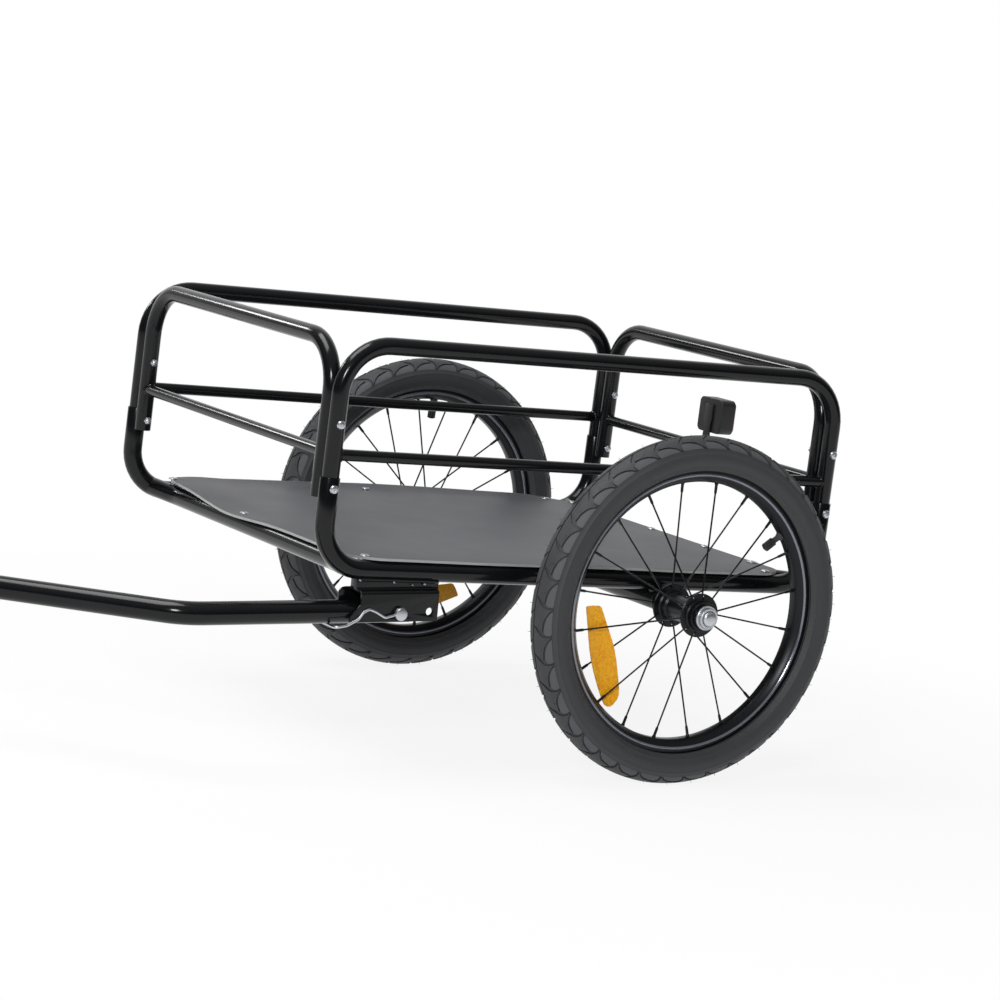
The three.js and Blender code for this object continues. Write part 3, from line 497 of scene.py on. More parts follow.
def close_finish(material, constants, tint, bump, rough=None):
    """Sets a material's surface: its constants, and the nodes that give colour, relief and gloss"""
    links = {"Base Color": tint.outputs[2], "Normal": bump.outputs[0]}
    if rough:
        links["Roughness"] = rough.outputs[0]
    shader = node(material.node_tree, "ShaderNodeBsdfPrincipled", constants, links)
    node(material.node_tree, "ShaderNodeOutputMaterial", links={"Surface": shader.outputs[0]})
    return material


def shade(colour_value, share):
    """A colour made lighter or darker by a share, as red, green, blue and alpha"""
    return (*[min(1, part * share) for part in colour_value], 1)


def grained(name, constants, tones, gloss, cloud, grain, relief, drawn=(1, 1, 1)):
    """A finish whose tone and gloss drift with one noise, and whose relief follows another

    Tones are its darkest and lightest colour and gloss its least and most roughness. Cloud and
    grain give each noise's scale and detail, relief a strength and a depth, and drawn how many
    times finer the pattern is along each axis.
    """
    if name in bpy.data.materials:
        return bpy.data.materials[name]
    material, tree, place = open_finish(name)
    place = node(tree, "ShaderNodeMapping", {"Scale": drawn}, {"Vector": place}).outputs[0]
    noises = []
    for scale, detail in (cloud, grain):
        settings = {"Scale": scale, "Detail": detail}
        made = node(tree, "ShaderNodeTexNoise", settings, {"Vector": place})
        noises.append(made.outputs["Fac"])
    drift, fine = noises
    dark, light = tones
    tint = node(tree, "ShaderNodeMix", {"data_type": "RGBA", 6: dark, 7: light}, {0: drift})
    span = {"To Min": gloss[0], "To Max": gloss[1]}
    rough = node(tree, "ShaderNodeMapRange", span, {"Value": drift})
    height = {"Strength": relief[0], "Distance": relief[1]}
    bump = node(tree, "ShaderNodeBump", height, {"Height": fine})
    return close_finish(material, constants, tint, bump, rough)


def powder_coat(scene):
    """Polyester powder coat, sprayed and baked: deep black with highlights that orange peel breaks"""
    base = scene.trailer_colours.paint
    return grained(
        "powder_coated_steel",
        {"IOR": 1.5, "Specular IOR Level": 0.3},
        (shade(base, 0.85), shade(base, 1.25)),
        gloss=(0.12, 0.2),
        # Cured powder varies in gloss over hands' breadths; orange peel has waves of about 1.5 mm
        cloud=(18, 4),
        grain=(650, 2),
        relief=(0.05, 0.2 * MM),
    )


def board_edge_and_highlight(scene):
    """The board's sawn edge, sealed with clear lacquer and shining a little: pale as its own fibre, and
    paler still as a painted highlight along it
    """
    colours = scene.trailer_colours
    return grained(
        "sealed_board_edge",
        {"IOR": 1.5, "Coat Weight": 0.3},
        (shade(colours.edge, 1), shade(colours.edge_highlight_tone, 1)),
        gloss=(0.25, 0.45),
        # Saw marks stand about 1 mm apart along the edge
        cloud=(1000, 2),
        grain=(1000, 2),
        relief=(0.1, 0.2 * MM),
    )


def tyre_rubber(scene, name="moulded_tyre_rubber", share=1):
    """Vulcanised rubber from a steel mould: charcoal with a dull bloom and fine mould grain"""
    base = [part * share for part in scene.trailer_colours.tyre]
    return grained(
        name,
        {"IOR": 1.52},
        (shade(base, 0.8), shade(base, 1.22)),
        gloss=(0.5, 0.72),
        # The bloom drifts over 3 cm; mould grain of about 0.8 mm is drawn at 1.2 mm, so it shows
        cloud=(35, 6),
        grain=(850, 3),
        relief=(0.25, 0.3 * MM),
    )


def anodised(scene, name="black_anodised_aluminium", gloss=(0.26, 0.4), share=1):
    """Aluminium, rolled or turned and anodised black: dark satin metal with fine lines round it"""
    base = [part * share for part in scene.trailer_colours.anodising]
    return grained(
        name,
        {"Metallic": 0.65},
        (shade(base, 0.8), shade(base, 1.3)),
        gloss,
        # Lines of about 0.5 mm run round the wheel's axle
        cloud=(60, 2),
        grain=(60, 2),
        relief=(0.06, 0.2 * MM),
        drawn=(1, 30, 1),
    )


def zinc_plate(scene, name="bright_zinc_plate", gloss=(0.3, 0.45), drawn=(1, 1, 1)):
    """Steel with bright zinc plate: cool silver, a little cloudy, with faint machining marks"""
    base = scene.trailer_colours.zinc
    return grained(
        name,
        {"Metallic": 1},
        (shade(base, 0.82), shade(base, 1.08)),
        gloss,
        # Plating clouds of about 3 mm and scratches of about 0.3 mm
        cloud=(330, 4),
        grain=(3000, 1),
        relief=(0.08, 0.1 * MM),
        drawn=drawn,
    )


def spring_wire(scene):
    """Hard-drawn wire, plated: silver with die lines along it"""
    return zinc_plate(scene, "drawn_spring_wire", (0.24, 0.34), (1, 1, 6))


def moulded_plastic(scene):
    """Nylon moulded in a spark-eroded tool: black with a fine satin grain"""
    base = scene.trailer_colours.plastic
    return grained(
        "moulded_black_nylon",
        {"IOR": 1.53},
        (shade(base, 0.8), shade(base, 1.4)),
        gloss=(0.38, 0.55),
        # Spark grain of about 0.4 mm, drawn at 0.8 mm so that it shows
        cloud=(1250, 2),
        grain=(1250, 2),
        relief=(0.2, 0.2 * MM),
    )


def filmed_board(scene):
    """Hardboard faced with a matt resin film: soft grey, faintly fibrous, with handling haze"""
    name = "film_faced_board"
    if name in bpy.data.materials:
        return bpy.data.materials[name]
    material, tree, place = open_finish(name)
    base = scene.trailer_colours.board
    # Press texture of about 1 mm, drawn at 1.6 mm so that it shows, over cloudy haze of 8 cm
    feed = {"Vector": place}
    grain = node(tree, "ShaderNodeTexNoise", {"Scale": 620, "Detail": 3}, feed)
    haze = node(tree, "ShaderNodeTexNoise", {"Scale": 12, "Detail": 5}, feed).outputs["Fac"]
    # Dust lies in specks about 4 mm apart
    specks = node(tree, "ShaderNodeTexVoronoi", {"Scale": 260}, feed).outputs["Distance"]
    dust = node(tree, "ShaderNodeMath", {"operation": "LESS_THAN", 1: 0.16}, {0: specks})
    faint = node(
        tree, "ShaderNodeMath", {"operation": "MULTIPLY", 1: 0.12}, {0: dust.outputs[0]}
    )
    tones = {"data_type": "RGBA", 6: shade(base, 0.9), 7: shade(base, 1.1)}
    cloud = node(tree, "ShaderNodeMix", tones, {0: haze})
    dusty = {"data_type": "RGBA", 7: shade(base, 1.7)}
    tint = node(tree, "ShaderNodeMix", dusty, {0: faint.outputs[0], 6: cloud.outputs[2]})
    rough = node(tree, "ShaderNodeMapRange", {"To Min": 0.42, "To Max": 0.6}, {"Value": haze})
    height = {"Strength": 0.12, "Distance": 0.3 * MM}
    bump = node(tree, "ShaderNodeBump", height, {"Height": grain.outputs["Fac"]})
    return close_finish(material, {"IOR": 1.45, "Specular IOR Level": 0.25}, tint, bump, rough)


def prism_plastic(name, base):
    """Acrylic moulded over a bed of corner prisms: bright cells, each of a slightly other tone"""
    if name in bpy.data.materials:
        return bpy.data.materials[name]
    material, tree, place = open_finish(name)
    # Prism cells are about 2 mm across, and each leans its own way
    bed = {"Scale": 480, "Randomness": 0.15}
    feed = {"Vector": place}
    cells = node(tree, "ShaderNodeTexVoronoi", bed, feed)
    edges = node(tree, "ShaderNodeTexVoronoi", {**bed, "feature": "DISTANCE_TO_EDGE"}, feed)
    pick = node(tree, "ShaderNodeSeparateColor", links={0: cells.outputs["Color"]})
    tones = {"data_type": "RGBA", 6: shade(base, 0.85), 7: shade(base, 1.3)}
    tone = node(tree, "ShaderNodeMix", tones, {0: pick.outputs[0]})
    span = {"From Max": 0.1, "To Min": 0.6, "To Max": 1}
    seam = node(tree, "ShaderNodeMapRange", span, {"Value": edges.outputs[0]})
    seamed = {"data_type": "RGBA", 6: shade(base, 0.72)}
    tint = node(tree, "ShaderNodeMix", seamed, {0: seam.outputs[0], 7: tone.outputs[2]})
    height = {"Strength": 0.35, "Distance": 0.6 * MM}
    bump = node(tree, "ShaderNodeBump", height, {"Height": cells.outputs["Distance"]})
    constants = {"IOR": 1.49, "Roughness": 0.28, "Specular IOR Level": 0.3}
    return close_finish(material, constants, tint, bump)


# Cage


def legs_and_rail(first, second, foot, level):
    """Corners of a tube that stands at two places and runs level between them"""
    return [(*first, foot), (*first, level), (*second, level), (*second, foot)]


class TRAILER_OT_lower_tubes(bpy.types.Operator):
    """Bend the two lower side tubes, whose upright ends are sleeves for the hoops"""

    bl_idname = "trailer.lower_tubes"
    bl_label = "Lower tubes"

    def execute(self, context):
        scene = context.scene
        cage, at = scene.trailer_cage, places(scene)
        top = at.lower_z + cage.sleeve_rise
        for side, way in SIDES:
            y = way * at.rail_y
            corners = legs_and_rail((-at.leg_x, y), (at.leg_x, y), top, at.lower_z)
            name = f"{side}_lower_tube_bent"
            tube = pull_tube(name, corners, cage.lower_bend, cage.lower_radius, cage.wall, 40)
            hand_over(tube, "frame", "black_paint", powder_coat(scene), f"{side}_lower_tube")
        return {"FINISHED"}


def barred_loop(name, cage, at, first, second, foot):
    """A bent tube that stands at two places, with a round bar welded across it"""
    corners = legs_and_rail(first, second, foot, at.rail_z)
    loop = pull_tube(name, corners, cage.hoop_bend, cage.hoop_radius, cage.wall)
    here, there = Vector((*first, at.bar_z)), Vector((*second, at.bar_z))
    along = (there - here).normalized()
    inset = (cage.hoop_radius - cage.wall) * along
    run = [here + inset, there - inset]
    bar = pull_tube(name + "_bar", run, 0, cage.bar_radius, cage.wall, sides=28, lip=0)
    beads = [
        weld_bead(name + "_bead", end, along * way, cage.bar_radius, cage.hoop_radius)
        for end, way in ((here, 1), (there, -1))
    ]
    return join_all([loop, bar, *beads], name)


class TRAILER_OT_side_hoops(bpy.types.Operator):
    """Bend the two side hoops and weld their middle bars in"""

    bl_idname = "trailer.side_hoops"
    bl_label = "Side hoops"

    def execute(self, context):
        scene = context.scene
        cage, at = scene.trailer_cage, places(scene)
        foot = at.lower_z + cage.hoop_foot
        for side, way in SIDES:
            y = way * at.rail_y
            name = f"{side}_side_hoop_bent"
            hoop = barred_loop(name, cage, at, (-at.leg_x, y), (at.leg_x, y), foot)
            hand_over(hoop, "frame", "black_paint", powder_coat(scene), f"{side}_side_hoop")
        return {"FINISHED"}


class TRAILER_OT_end_panels(bpy.types.Operator):
    """Bend the front and rear panels and weld their middle bars in"""

    bl_idname = "trailer.end_panels"
    bl_label = "End panels"

    def execute(self, context):
        scene = context.scene
        cage, at = scene.trailer_cage, places(scene)
        foot = at.lower_z + cage.panel_foot
        for end, way in ENDS:
            x = way * at.leg_x
            name = f"{end}_panel_bent"
            panel = barred_loop(name, cage, at, (x, -at.panel_y), (x, at.panel_y), foot)
            hand_over(panel, "frame", "black_paint", powder_coat(scene), f"{end}_panel")
        return {"FINISHED"}


class TRAILER_OT_crossbars(bpy.types.Operator):
    """Bend the crossbars that carry the board, with ends that turn up into the side tubes' bends"""

    bl_idname = "trailer.crossbars"
    bl_label = "Crossbars"

    def execute(self, context):
        scene = context.scene
        cage, at = scene.trailer_cage, places(scene)
        # The bars lie a hair lower than the side tubes' tops, and end short of their axes
        radius = cage.lower_radius - 0.05 * MM
        end_y = at.rail_y - 2.5 * MM
        corner_y = at.rail_y - cage.crossbar_reach
        climb = cage.crossbar_climb
        end_z = at.lower_z + cage.lower_bend * (1 - math.cos(climb))
        for end, way in ENDS:
            bar_x = way * (scene.trailer_deck.length / 2 - cage.crossbar_inset)
            end_x = way * (at.leg_x - cage.lower_bend * (1 - math.sin(climb)))
            corners = [(end_x, -end_y, end_z), (bar_x, -corner_y, at.lower_z)]
            corners += [(bar_x, corner_y, at.lower_z), (end_x, end_y, end_z)]
            name = f"{end}_crossbar_bent"
            bar = pull_tube(name, corners, cage.crossbar_bend, radius, cage.wall, lip=0)
            hand_over(bar, "frame", "black_paint", powder_coat(scene), f"{end}_crossbar")
        return {"FINISHED"}


# The bead between axle tube and side tube, in millimetres: its radius and how far out it stands
AXLE_BEAD = ((5.5, -1.8), (8, -2.2), (9.2, 0), (8, 2.2), (5.5, 1.8))


class TRAILER_OT_axle_tube(bpy.types.Operator):
    """Turn the axle cross tube and weld it under the side tubes"""

    bl_idname = "trailer.axle_tube"
    bl_label = "Axle cross tube"

    def execute(self, context):
        scene = context.scene
        at = places(scene)
        low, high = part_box("axle_cross_tube")
        centre = (low + high) / 2
        end = high.y - centre.y
        radius = high.z - centre.z
        # Each open end is a receiver, bored for the stub axle, with a flange that stands proud
        bore, bottom = 6.3 * MM, end - 48 * MM
        half = [(radius, bottom), (radius, end), (bore, end), (bore, bottom)]
        tube = turn_on_lathe("axle_cross_tube_turned", ring_of(half), centre, Y, 40)
        soften(tube, 0.5 * MM)
        pieces = [tube]
        root, flange, back, front = radius - MM, 13.4 * MM, end - 9 * MM, end - 5 * MM
        for way in (-1, 1):
            spot = Vector((centre.x, way * at.rail_y, centre.z + radius))
            pieces.append(turn_on_lathe("bead", in_mm(AXLE_BEAD), spot, Z, 32))
            ring = [(root, back), (flange, back), (flange, front), (root, front)]
            collar = turn_on_lathe("collar", [(r, way * s) for r, s in ring], centre, Y, 40)
            soften(collar, 0.6 * MM)
            pieces.append(collar)
        join_all(pieces, "axle_cross_tube_turned")
        hand_over(tube, "frame", "black_paint", powder_coat(scene), "axle_cross_tube")
        return {"FINISHED"}


# Deck


def share_between(value, low, high):
    """Where a value lies between two others, from 0 to 1"""
    return max(0, min(1, (value - low) / (high - low)))


def front_share(x):
    """How far into the strip along the board's front a place lies, from 0 to 1"""
    return share_between(-x, 0.200, 0.280)


def front_middle(y):
    """A smooth hump across the board, from 0 to 1, highest a little right of its middle"""
    return math.exp(-(((y - 0.035) / 0.070) ** 2))


def board_rise(deck, x, y):
    """How far the board stands above its level: it hangs between its screws and its edges curl"""
    margin = 0.03
    share_x = share_between(abs(x), 0, deck.length / 2 - margin)
    share_y = share_between(abs(y), 0, deck.width / 2 - margin)
    ripple = 0.35 * MM * math.sin(x * 24 + 1) * share_y**6
    hang = deck.sag * (1 - share_x**2) * (1 - share_y**2)
    corner = deck.lift * share_between(y, 0.110, 0.185)
    right_edge = share_between(y, 0.235, deck.width / 2) ** 1.3
    curl = deck.curl * right_edge * max(0, 1 - ((x - 0.03) / 0.29) ** 2)
    rise = ripple - hang + curl + front_share(x) * (corner - deck.droop * front_middle(y))
    # The underside lies on the tubes, which stand this much below the deck's own place
    return rise - 0.3 * MM


class TRAILER_OT_deck_board(bpy.types.Operator):
    """Cut the deck board with round corners and let it hang a little between its screws"""

    bl_idname = "trailer.deck_board"
    bl_label = "Deck board"

    def execute(self, context):
        scene = context.scene
        deck = scene.trailer_deck
        steps = 12
        half = 2 * (steps + 1)
        right = rounded(deck.length, deck.width, deck.far_corner, steps)[:half]
        left = rounded(deck.length, deck.width, deck.corner, steps)[half:]
        board = draw("deck_board_cut", [(x, y, -deck.thickness) for x, y in right + left])
        bpy.ops.mesh.edge_face_add()
        # A net fine enough to bend, with three more lines where the right edge curls
        spacing = 0.018
        score(X, [spacing * index for index in range(-16, 17)])
        score(Y, [spacing * index for index in range(-14, 15)] + [0.239, 0.244, 0.249])
        pull((0, 0, deck.thickness))
        close_seams()
        for vertex in board.data.vertices:
            x, y, _ = vertex.co
            vertex.co.z += board_rise(deck, x, y)
            vertex.co.x -= deck.bulge * front_middle(y) * front_share(x) ** 2
        soften(board, 0.9 * MM, angle=60)
        board.data.materials.append(filmed_board(scene))
        # The edge faces take a paler finish: the board's own fibre, and a painted highlight along the
        # edge
        mark_where(board, board_edge_and_highlight(scene), lambda centre, normal: abs(normal.z) < 0.9)
        hand_over(board, "frame", "deck_sheet", filmed_board(scene), "deck_board", angle=40)
        return {"FINISHED"}


# A pan head's section: shares of its radius, and millimetres above the board
PAN_HEAD = (
    (0, 2.1), (0.45, 2.05), (0.75, 1.75), (0.94, 1.1), (1, 0.45), (1, 0), (0.4, -0.1), (0.4, -11),
    (0, -11),
)  # fmt: skip

# Where the screws stand, in millimetres along and across the board
SCREWS = (
    (-270, -244), (-5, -246), (259, -246), (-8, 238), (254, 236), (-279, 30), (-282, 218),
    (282, 215), (282, 30), (282, -88), (282, -187),
)  # fmt: skip


def pan_head_screw(name, radius):
    """A pan head with a cross recess, standing on the board at the origin"""
    pairs = [(radius * share, height * MM) for share, height in PAN_HEAD]
    head = turn_on_lathe(name, pairs, axis=Z, steps=28)
    arm, half = 0.62 * radius / MM, 0.13 * radius / MM
    quarter = [(arm, -half), (arm, half), (half, half)]
    turns = ((1, 0), (0, 1), (-1, 0), (0, -1))
    cross = [(x * c - y * s, x * s + y * c) for c, s in turns for x, y in quarter]
    cut_with(head, cut_across("Z", "recess", cross, 0.9, 3))
    soften(head, 0.12 * MM, angle=50, steps=1)
    return head


class TRAILER_OT_deck_screws(bpy.types.Operator):
    """Set the screws that hold the board to the tubes under it"""

    bl_idname = "trailer.deck_screws"
    bl_label = "Deck screws"

    def execute(self, context):
        scene = context.scene
        deck = scene.trailer_deck
        master = pan_head_screw("deck_screw", deck.screw_radius)
        screws = []
        for index, (x, y) in enumerate(SCREWS):
            spot = mm(x, y, 0) + Z * board_rise(deck, x * MM, y * MM)
            place = Matrix.Translation(spot) @ Matrix.Rotation(0.7 * index, 4, "Z")
            screws.append(copy_to(master, place, "deck_screw_set"))
        # Only the last one has a washer
        washer = in_mm([(6.6, 0), (6.6, 1), (2.8, 1), (2.8, 0)])
        screws.append(turn_on_lathe("screw_washer", washer, spot, Z, 32))
        bpy.data.objects.remove(master)
        screws = join_all(screws, "deck_screws")
        hand_over(screws, "frame", "bright_zinc", zinc_plate(scene))
        return {"FINISHED"}


# Sections in millimetres: radius, and outwards from what the bolt's head and the nut bear on
BOLT_HEAD = (
    (0, 3.4), (2.2, 3.3), (3.9, 2.6), (4.8, 1.3), (4.9, 0.2), (2.5, 0), (2.5, -4), (0, -4),
)  # fmt: skip
NUT_DOME = ((0, -6), (1.6, -5.8), (3, -4.8), (3.5, -3.2), (3.5, -2.6), (0, -2.6))


class TRAILER_OT_corner_bolts(bpy.types.Operator):
    """Bolt the hoops, sleeves and end panels together at the four corners"""

    bl_idname = "trailer.corner_bolts"
    bl_label = "Corner bolts"

    def execute(self, context):
        scene = context.scene
        cage, at = scene.trailer_cage, places(scene)
        inner = at.panel_y - cage.hoop_radius
        for row, rise, outside in (
            ("upper", cage.upper_bolt, cage.hoop_radius),
            ("lower", cage.lower_bolt, cage.lower_radius),
        ):
            seat = at.rail_y + outside
            bolt = turn_on_lathe("bolt", in_mm(BOLT_HEAD, (0, seat)), steps=32)
            cut_with(bolt, cut_across("Y", "socket", hexagon(1.9), 1.6, 4, (0, seat, 0)))
            nut = cut_across("Y", "nut", hexagon(4.6), 0, -3.4, (0, inner, 0))
            soften(nut, 0.5 * MM)
            dome = turn_on_lathe("dome", in_mm(NUT_DOME, (0, inner)), steps=24)
            shank = [(0, inner - MM), (2.5 * MM, inner - MM), (2.5 * MM, seat), (0, seat)]
            shank = turn_on_lathe("shank", shank, steps=16)
            master = join_all([bolt, nut, dome, shank], "corner_bolt")
            for end, x_way in ENDS:
                for side, way in SIDES:
                    place = Matrix.Translation((x_way * at.leg_x, 0, at.lower_z + rise))
                    if way < 0:
                        place = place @ Matrix.Rotation(math.pi, 4, "Z")
                    node_name = f"{end}_{side}_{row}_bolt"
                    made = copy_to(master, place, node_name + "_set")
                    hand_over(made, "frame", "bright_zinc", zinc_plate(scene), node_name)
            bpy.data.objects.remove(master)
        return {"FINISHED"}


# Wheels: each piece is made once, outboard towards -Y and with the valve on +X


def fit_pair(scene, master, kind, slot, finish, body="wheel", angle=32):
    """Copies a piece to both sides and retires the master; a wheel's own pieces turn with it"""
    wheel = scene.trailer_wheel
    for (side, way), spin in zip(SIDES, (wheel.left_spin, wheel.right_spin)):
        place = Matrix.Translation((HUB_AT.x, -way * HUB_AT.y, HUB_AT.z))
        if way > 0:
            place = place @ Matrix.Rotation(math.pi, 4, "Z")
        if body == "wheel":
            place = place @ Matrix.Rotation(-spin, 4, "Y")
        made = copy_to(master, place, f"{side}_{kind}_made")
        rides_on = body if body == "frame" else f"{side}_{body}"
        hand_over(made, rides_on, slot, finish, f"{side}_{kind}", angle=angle)
    bpy.data.objects.remove(master)


def around(angle, radius, across=0):
    return Vector((radius * math.cos(angle), across, radius * math.sin(angle)))


def oval(middle, lean, rise, width):
    """A (radius, across) pair on an oval, at an angle in degrees above its widest place"""
    lean = math.radians(lean)
    return middle + rise * math.sin(lean), width * math.cos(lean)


TREAD_UNITS = 38
# A fin of the shoulder and half a link of the crown, in shares of the pitch and the half tread
FIN = (
    (0.04, 1.0), (0.91, 1.0), (0.80, 0.84), (0.62, 0.70), (0.38, 0.605),
    (0.14, 0.58), (0.06, 0.62), (0.0, 0.72), (-0.01, 0.84), (0.02, 0.95),
)  # fmt: skip
LINK = (
    (0.35, 0.04), (1.28, 0.04), (1.0, 0.42), (0.95, 0.55), (0.93, 0.70), (0.94, 0.85),
    (0.975, 0.97), (0.88, 0.87), (0.77, 0.75), (0.60, 0.62), (0.38, 0.545), (0.13, 0.52),
)  # fmt: skip


def tread_place(wheel, u, v, depth):
    """A place on the tread from its shares of the pitch and of the half width, and its depth"""
    crown = wheel.tyre_radius - wheel.tyre_middle - depth
    radius, across = oval(wheel.tyre_middle, 90 - 60 * v, crown, wheel.tyre_half - depth)
    return around(-u * 2 * math.pi / TREAD_UNITS, radius, -across)


def tread_block(wheel, name, outline, depth, finish, lit_top_finish, sunk=0):
    """One rubber block, wrapped on the tyre and repeated round it"""
    pitch = 2 * math.pi * wheel.tyre_radius / TREAD_UNITS
    block = draw(name, [(u * pitch, v * pitch, 0) for u, v in outline])
    bpy.ops.mesh.edge_face_add()
    score(X, [share * pitch for share in (0.25, 0.5, 0.75, 1)])
    score(Y, [share * pitch for share in (0.15, 0.3, 0.42, 0.58, 0.72, 0.86)])
    pull((0, 0, pitch))
    close_seams()
    block.data.materials.append(finish)
    # The outer faces take the second finish; for the fins it is painted light
    mark_where(block, lit_top_finish, lambda centre, normal: centre.z > 0.9 * pitch)
    for vertex in block.data.vertices:
        u, v, w = vertex.co / pitch
        vertex.co = tread_place(wheel, u, v, sunk if w > 0.5 else depth)
    take_up(block, edit=True)
    close_seams()
    soften(block, 0.35 * MM, angle=50, steps=1)
    repeat_round(block, TREAD_UNITS)
    return block


# The tyre's sidewall from the tread down, in degrees of lean, and its two fine moulded lines
SIDEWALL = (30, 26, 20, 17, 14, 8, 0, -8, -16, -24, -27, -30, -38, -46)
MOULDED_LINES = (17, -27)
# The tyre's bead and inner face, in millimetres above the bead seat and across
TYRE_INSIDE = (
    (7, 13.2), (6.4, 11), (0.6, 10.4), (0.6, 7.2), (8.3, 7.4), (9.6, 14.2), (22, 20.2),
    (34.6, 12.8), (38.4, 0),
)  # fmt: skip


class TRAILER_OT_tyres(bpy.types.Operator):
    """Mould the tyres: a carcass, rows of tread blocks and the hairs left by the mould's vents"""

    bl_idname = "trailer.tyres"
    bl_label = "Tyres"

    def execute(self, context):
        scene = context.scene
        wheel = scene.trailer_wheel
        middle, half, groove = wheel.tyre_middle, wheel.tyre_half, wheel.groove
        crown = wheel.tyre_radius - middle
        pairs = [oval(middle, lean, crown - groove, half - groove) for lean in range(90, 29, -6)]
        for lean in SIDEWALL:
            line = 0.5 * MM if lean in MOULDED_LINES else 0
            rise = crown if lean > 0 else 20 * MM
            pairs.append(oval(middle, lean, rise + line, half + line))
        pairs += in_mm(TYRE_INSIDE, (wheel.seat_radius, 0))
        carcass = turn_on_lathe("carcass", ring_of(pairs), steps=152)
        # The fins' outer faces take the same rubber twice as light: painted light on the faces that
        # catch it
        rubber, lit_top_rubber = tyre_rubber(scene), tyre_rubber(scene, "bloomed_tyre_rubber", 2)
        carcass.data.materials.append(rubber)
        root = groove + 0.4 * MM
        blocks = [
            tread_block(wheel, "fin", FIN, root, rubber, lit_top_rubber, sunk=0.5 * MM),
            tread_block(wheel, "link", LINK, root, rubber, rubber),
        ]
        for share in (0.5, 0.99):
            skin = tread_place(wheel, share, share, 0.3 * MM)
            out = (skin - tread_place(wheel, share, share, 3 * MM)).normalized()
            clear_bench()
            bpy.ops.mesh.primitive_cone_add(
                vertices=4,
                radius1=0.32 * MM,
                radius2=0.12 * MM,
                depth=3.4 * MM,
                location=skin + out * 1.6 * MM,
                rotation=facing(out),
            )
            hair = claim("hair")
            hair.data.materials.append(rubber)
            repeat_round(hair, TREAD_UNITS)
            blocks.append(hair)
        near = join_all(blocks, "tread")
        # The other shoulder is the mirror image, moved on by half a pitch
        swap = Matrix.Rotation(math.pi / TREAD_UNITS, 4, "Y") @ Matrix.Scale(-1, 4, Y)
        far = copy_to(near, swap, "tread_far")
        take_up(far, edit=True)
        bpy.ops.mesh.flip_normals()
        bpy.ops.object.mode_set(mode="OBJECT")
        tyre = join_all([carcass, near, far], "tyre")
        fit_pair(scene, tyre, "tyre", "tyre_rubber", rubber, angle=28)
        return {"FINISHED"}


# Half the rim's section in millimetres: its inner face, its wall with the bead, and its well
RIM_FACE = ((0, 0), (0, 4.6), (0.5, 6), (6.2, 11.4))
RIM_WALL = (
    (7.2, -0.5), (7.7, 0.3), (8.4, 0.7), (9.3, 0.7), (10, 0.4), (10.6, -0.2), (14.8, -0.4),
    (14.2, -1.8), (8.6, -1.8),
)  # fmt: skip
RIM_WELL = ((8.4, 9.4), (4.8, 5.6), (4.8, 0))


class TRAILER_OT_rims(bpy.types.Operator):
    """Roll the rims with their well, walls and hooked lips"""

    bl_idname = "trailer.rims"
    bl_label = "Rims"

    def execute(self, context):
        scene = context.scene
        inner, edge = scene.trailer_wheel.rim_inner, scene.trailer_wheel.rim_half
        pairs = in_mm(RIM_FACE, (inner, 0)) + in_mm(RIM_WALL, (inner, edge))
        pairs += in_mm(RIM_WELL, (inner, 0))
        rim = turn_on_lathe("rim", ring_of(pairs), steps=144)
        rim.data.materials.append(anodised(scene))

        def on_highlight_bead(centre, normal):
            rise = math.hypot(centre.x, centre.z) - inner
            return 7.3 * MM < rise < 10.4 * MM and abs(centre.y) > edge - 0.2 * MM

        # The bead takes a colour sixteen times as light as the rim's, and less roughness: the gloss is
        # real, the lighter colour is a painted highlight along the lip
        highlight_bead_finish = anodised(scene, "polished_anodised_bead", (0.12, 0.2), 16)
        mark_where(rim, highlight_bead_finish, on_highlight_bead)
        fit_pair(scene, rim, "rim", "black_alloy", anodised(scene), angle=30)
        return {"FINISHED"}


# Sections in millimetres: half the tube's, as radius and across, then the stem's and the cap's,
# as radius and distance from the wheel's axle
INNER_TUBE = ((190, 0), (188.6, 7.2), (181, 14), (175, 15.4), (168, 9), (157, 3.5), (156, 0))
VALVE_STEM = (
    (0, 158), (4.6, 158), (4.6, 146.7), (5.2, 146.4), (5.2, 145.4), (4.2, 144), (3.4, 141.5),
    (3.3, 135.4), (2.6, 134.6),
)  # fmt: skip
VALVE_CAP = (
    (0, 121.6), (2.6, 121.6), (4, 122.3), (4.5, 123.6), (4.5, 133), (5, 133.6), (5, 135.3),
    (2.9, 135.3), (2.9, 124.4), (0, 124.4),
)  # fmt: skip


class TRAILER_OT_inner_tubes(bpy.types.Operator):
    """Make the inner tubes with their valve stems, and the ribbed caps"""

    bl_idname = "trailer.inner_tubes"
    bl_label = "Inner tubes and valve caps"

    def execute(self, context):
        scene = context.scene
        tube = turn_on_lathe("tube", ring_of(in_mm(INNER_TUBE)), steps=72)
        thread = []
        for index in range(8):
            thread += [(2.6, 134.2 - index), (2.2, 133.7 - index)]
        stem = in_mm([*VALVE_STEM, *thread, (2.2, 125), (0, 125)])
        stem = turn_on_lathe("stem", stem, axis=X, steps=28)
        tube = join_all([tube, stem], "inner_tube")
        fit_pair(scene, tube, "inner_tube", "tube_rubber", tyre_rubber(scene))
        cap = turn_on_lathe("cap", in_mm(VALVE_CAP), axis=X, steps=40)
        rib = [(122.5, -0.35), (133, -0.35), (133, 0.35), (122.5, 0.35)]
        rib = cut_across("Z", "rib", rib, 4.2, 0.75)
        soften(rib, 0.2 * MM, steps=1)
        repeat_round(rib, 12, X)
        cap = join_all([cap, rib], "valve_cap")
        fit_pair(scene, cap, "valve_cap", "black_plastic", moulded_plastic(scene))
        return {"FINISHED"}


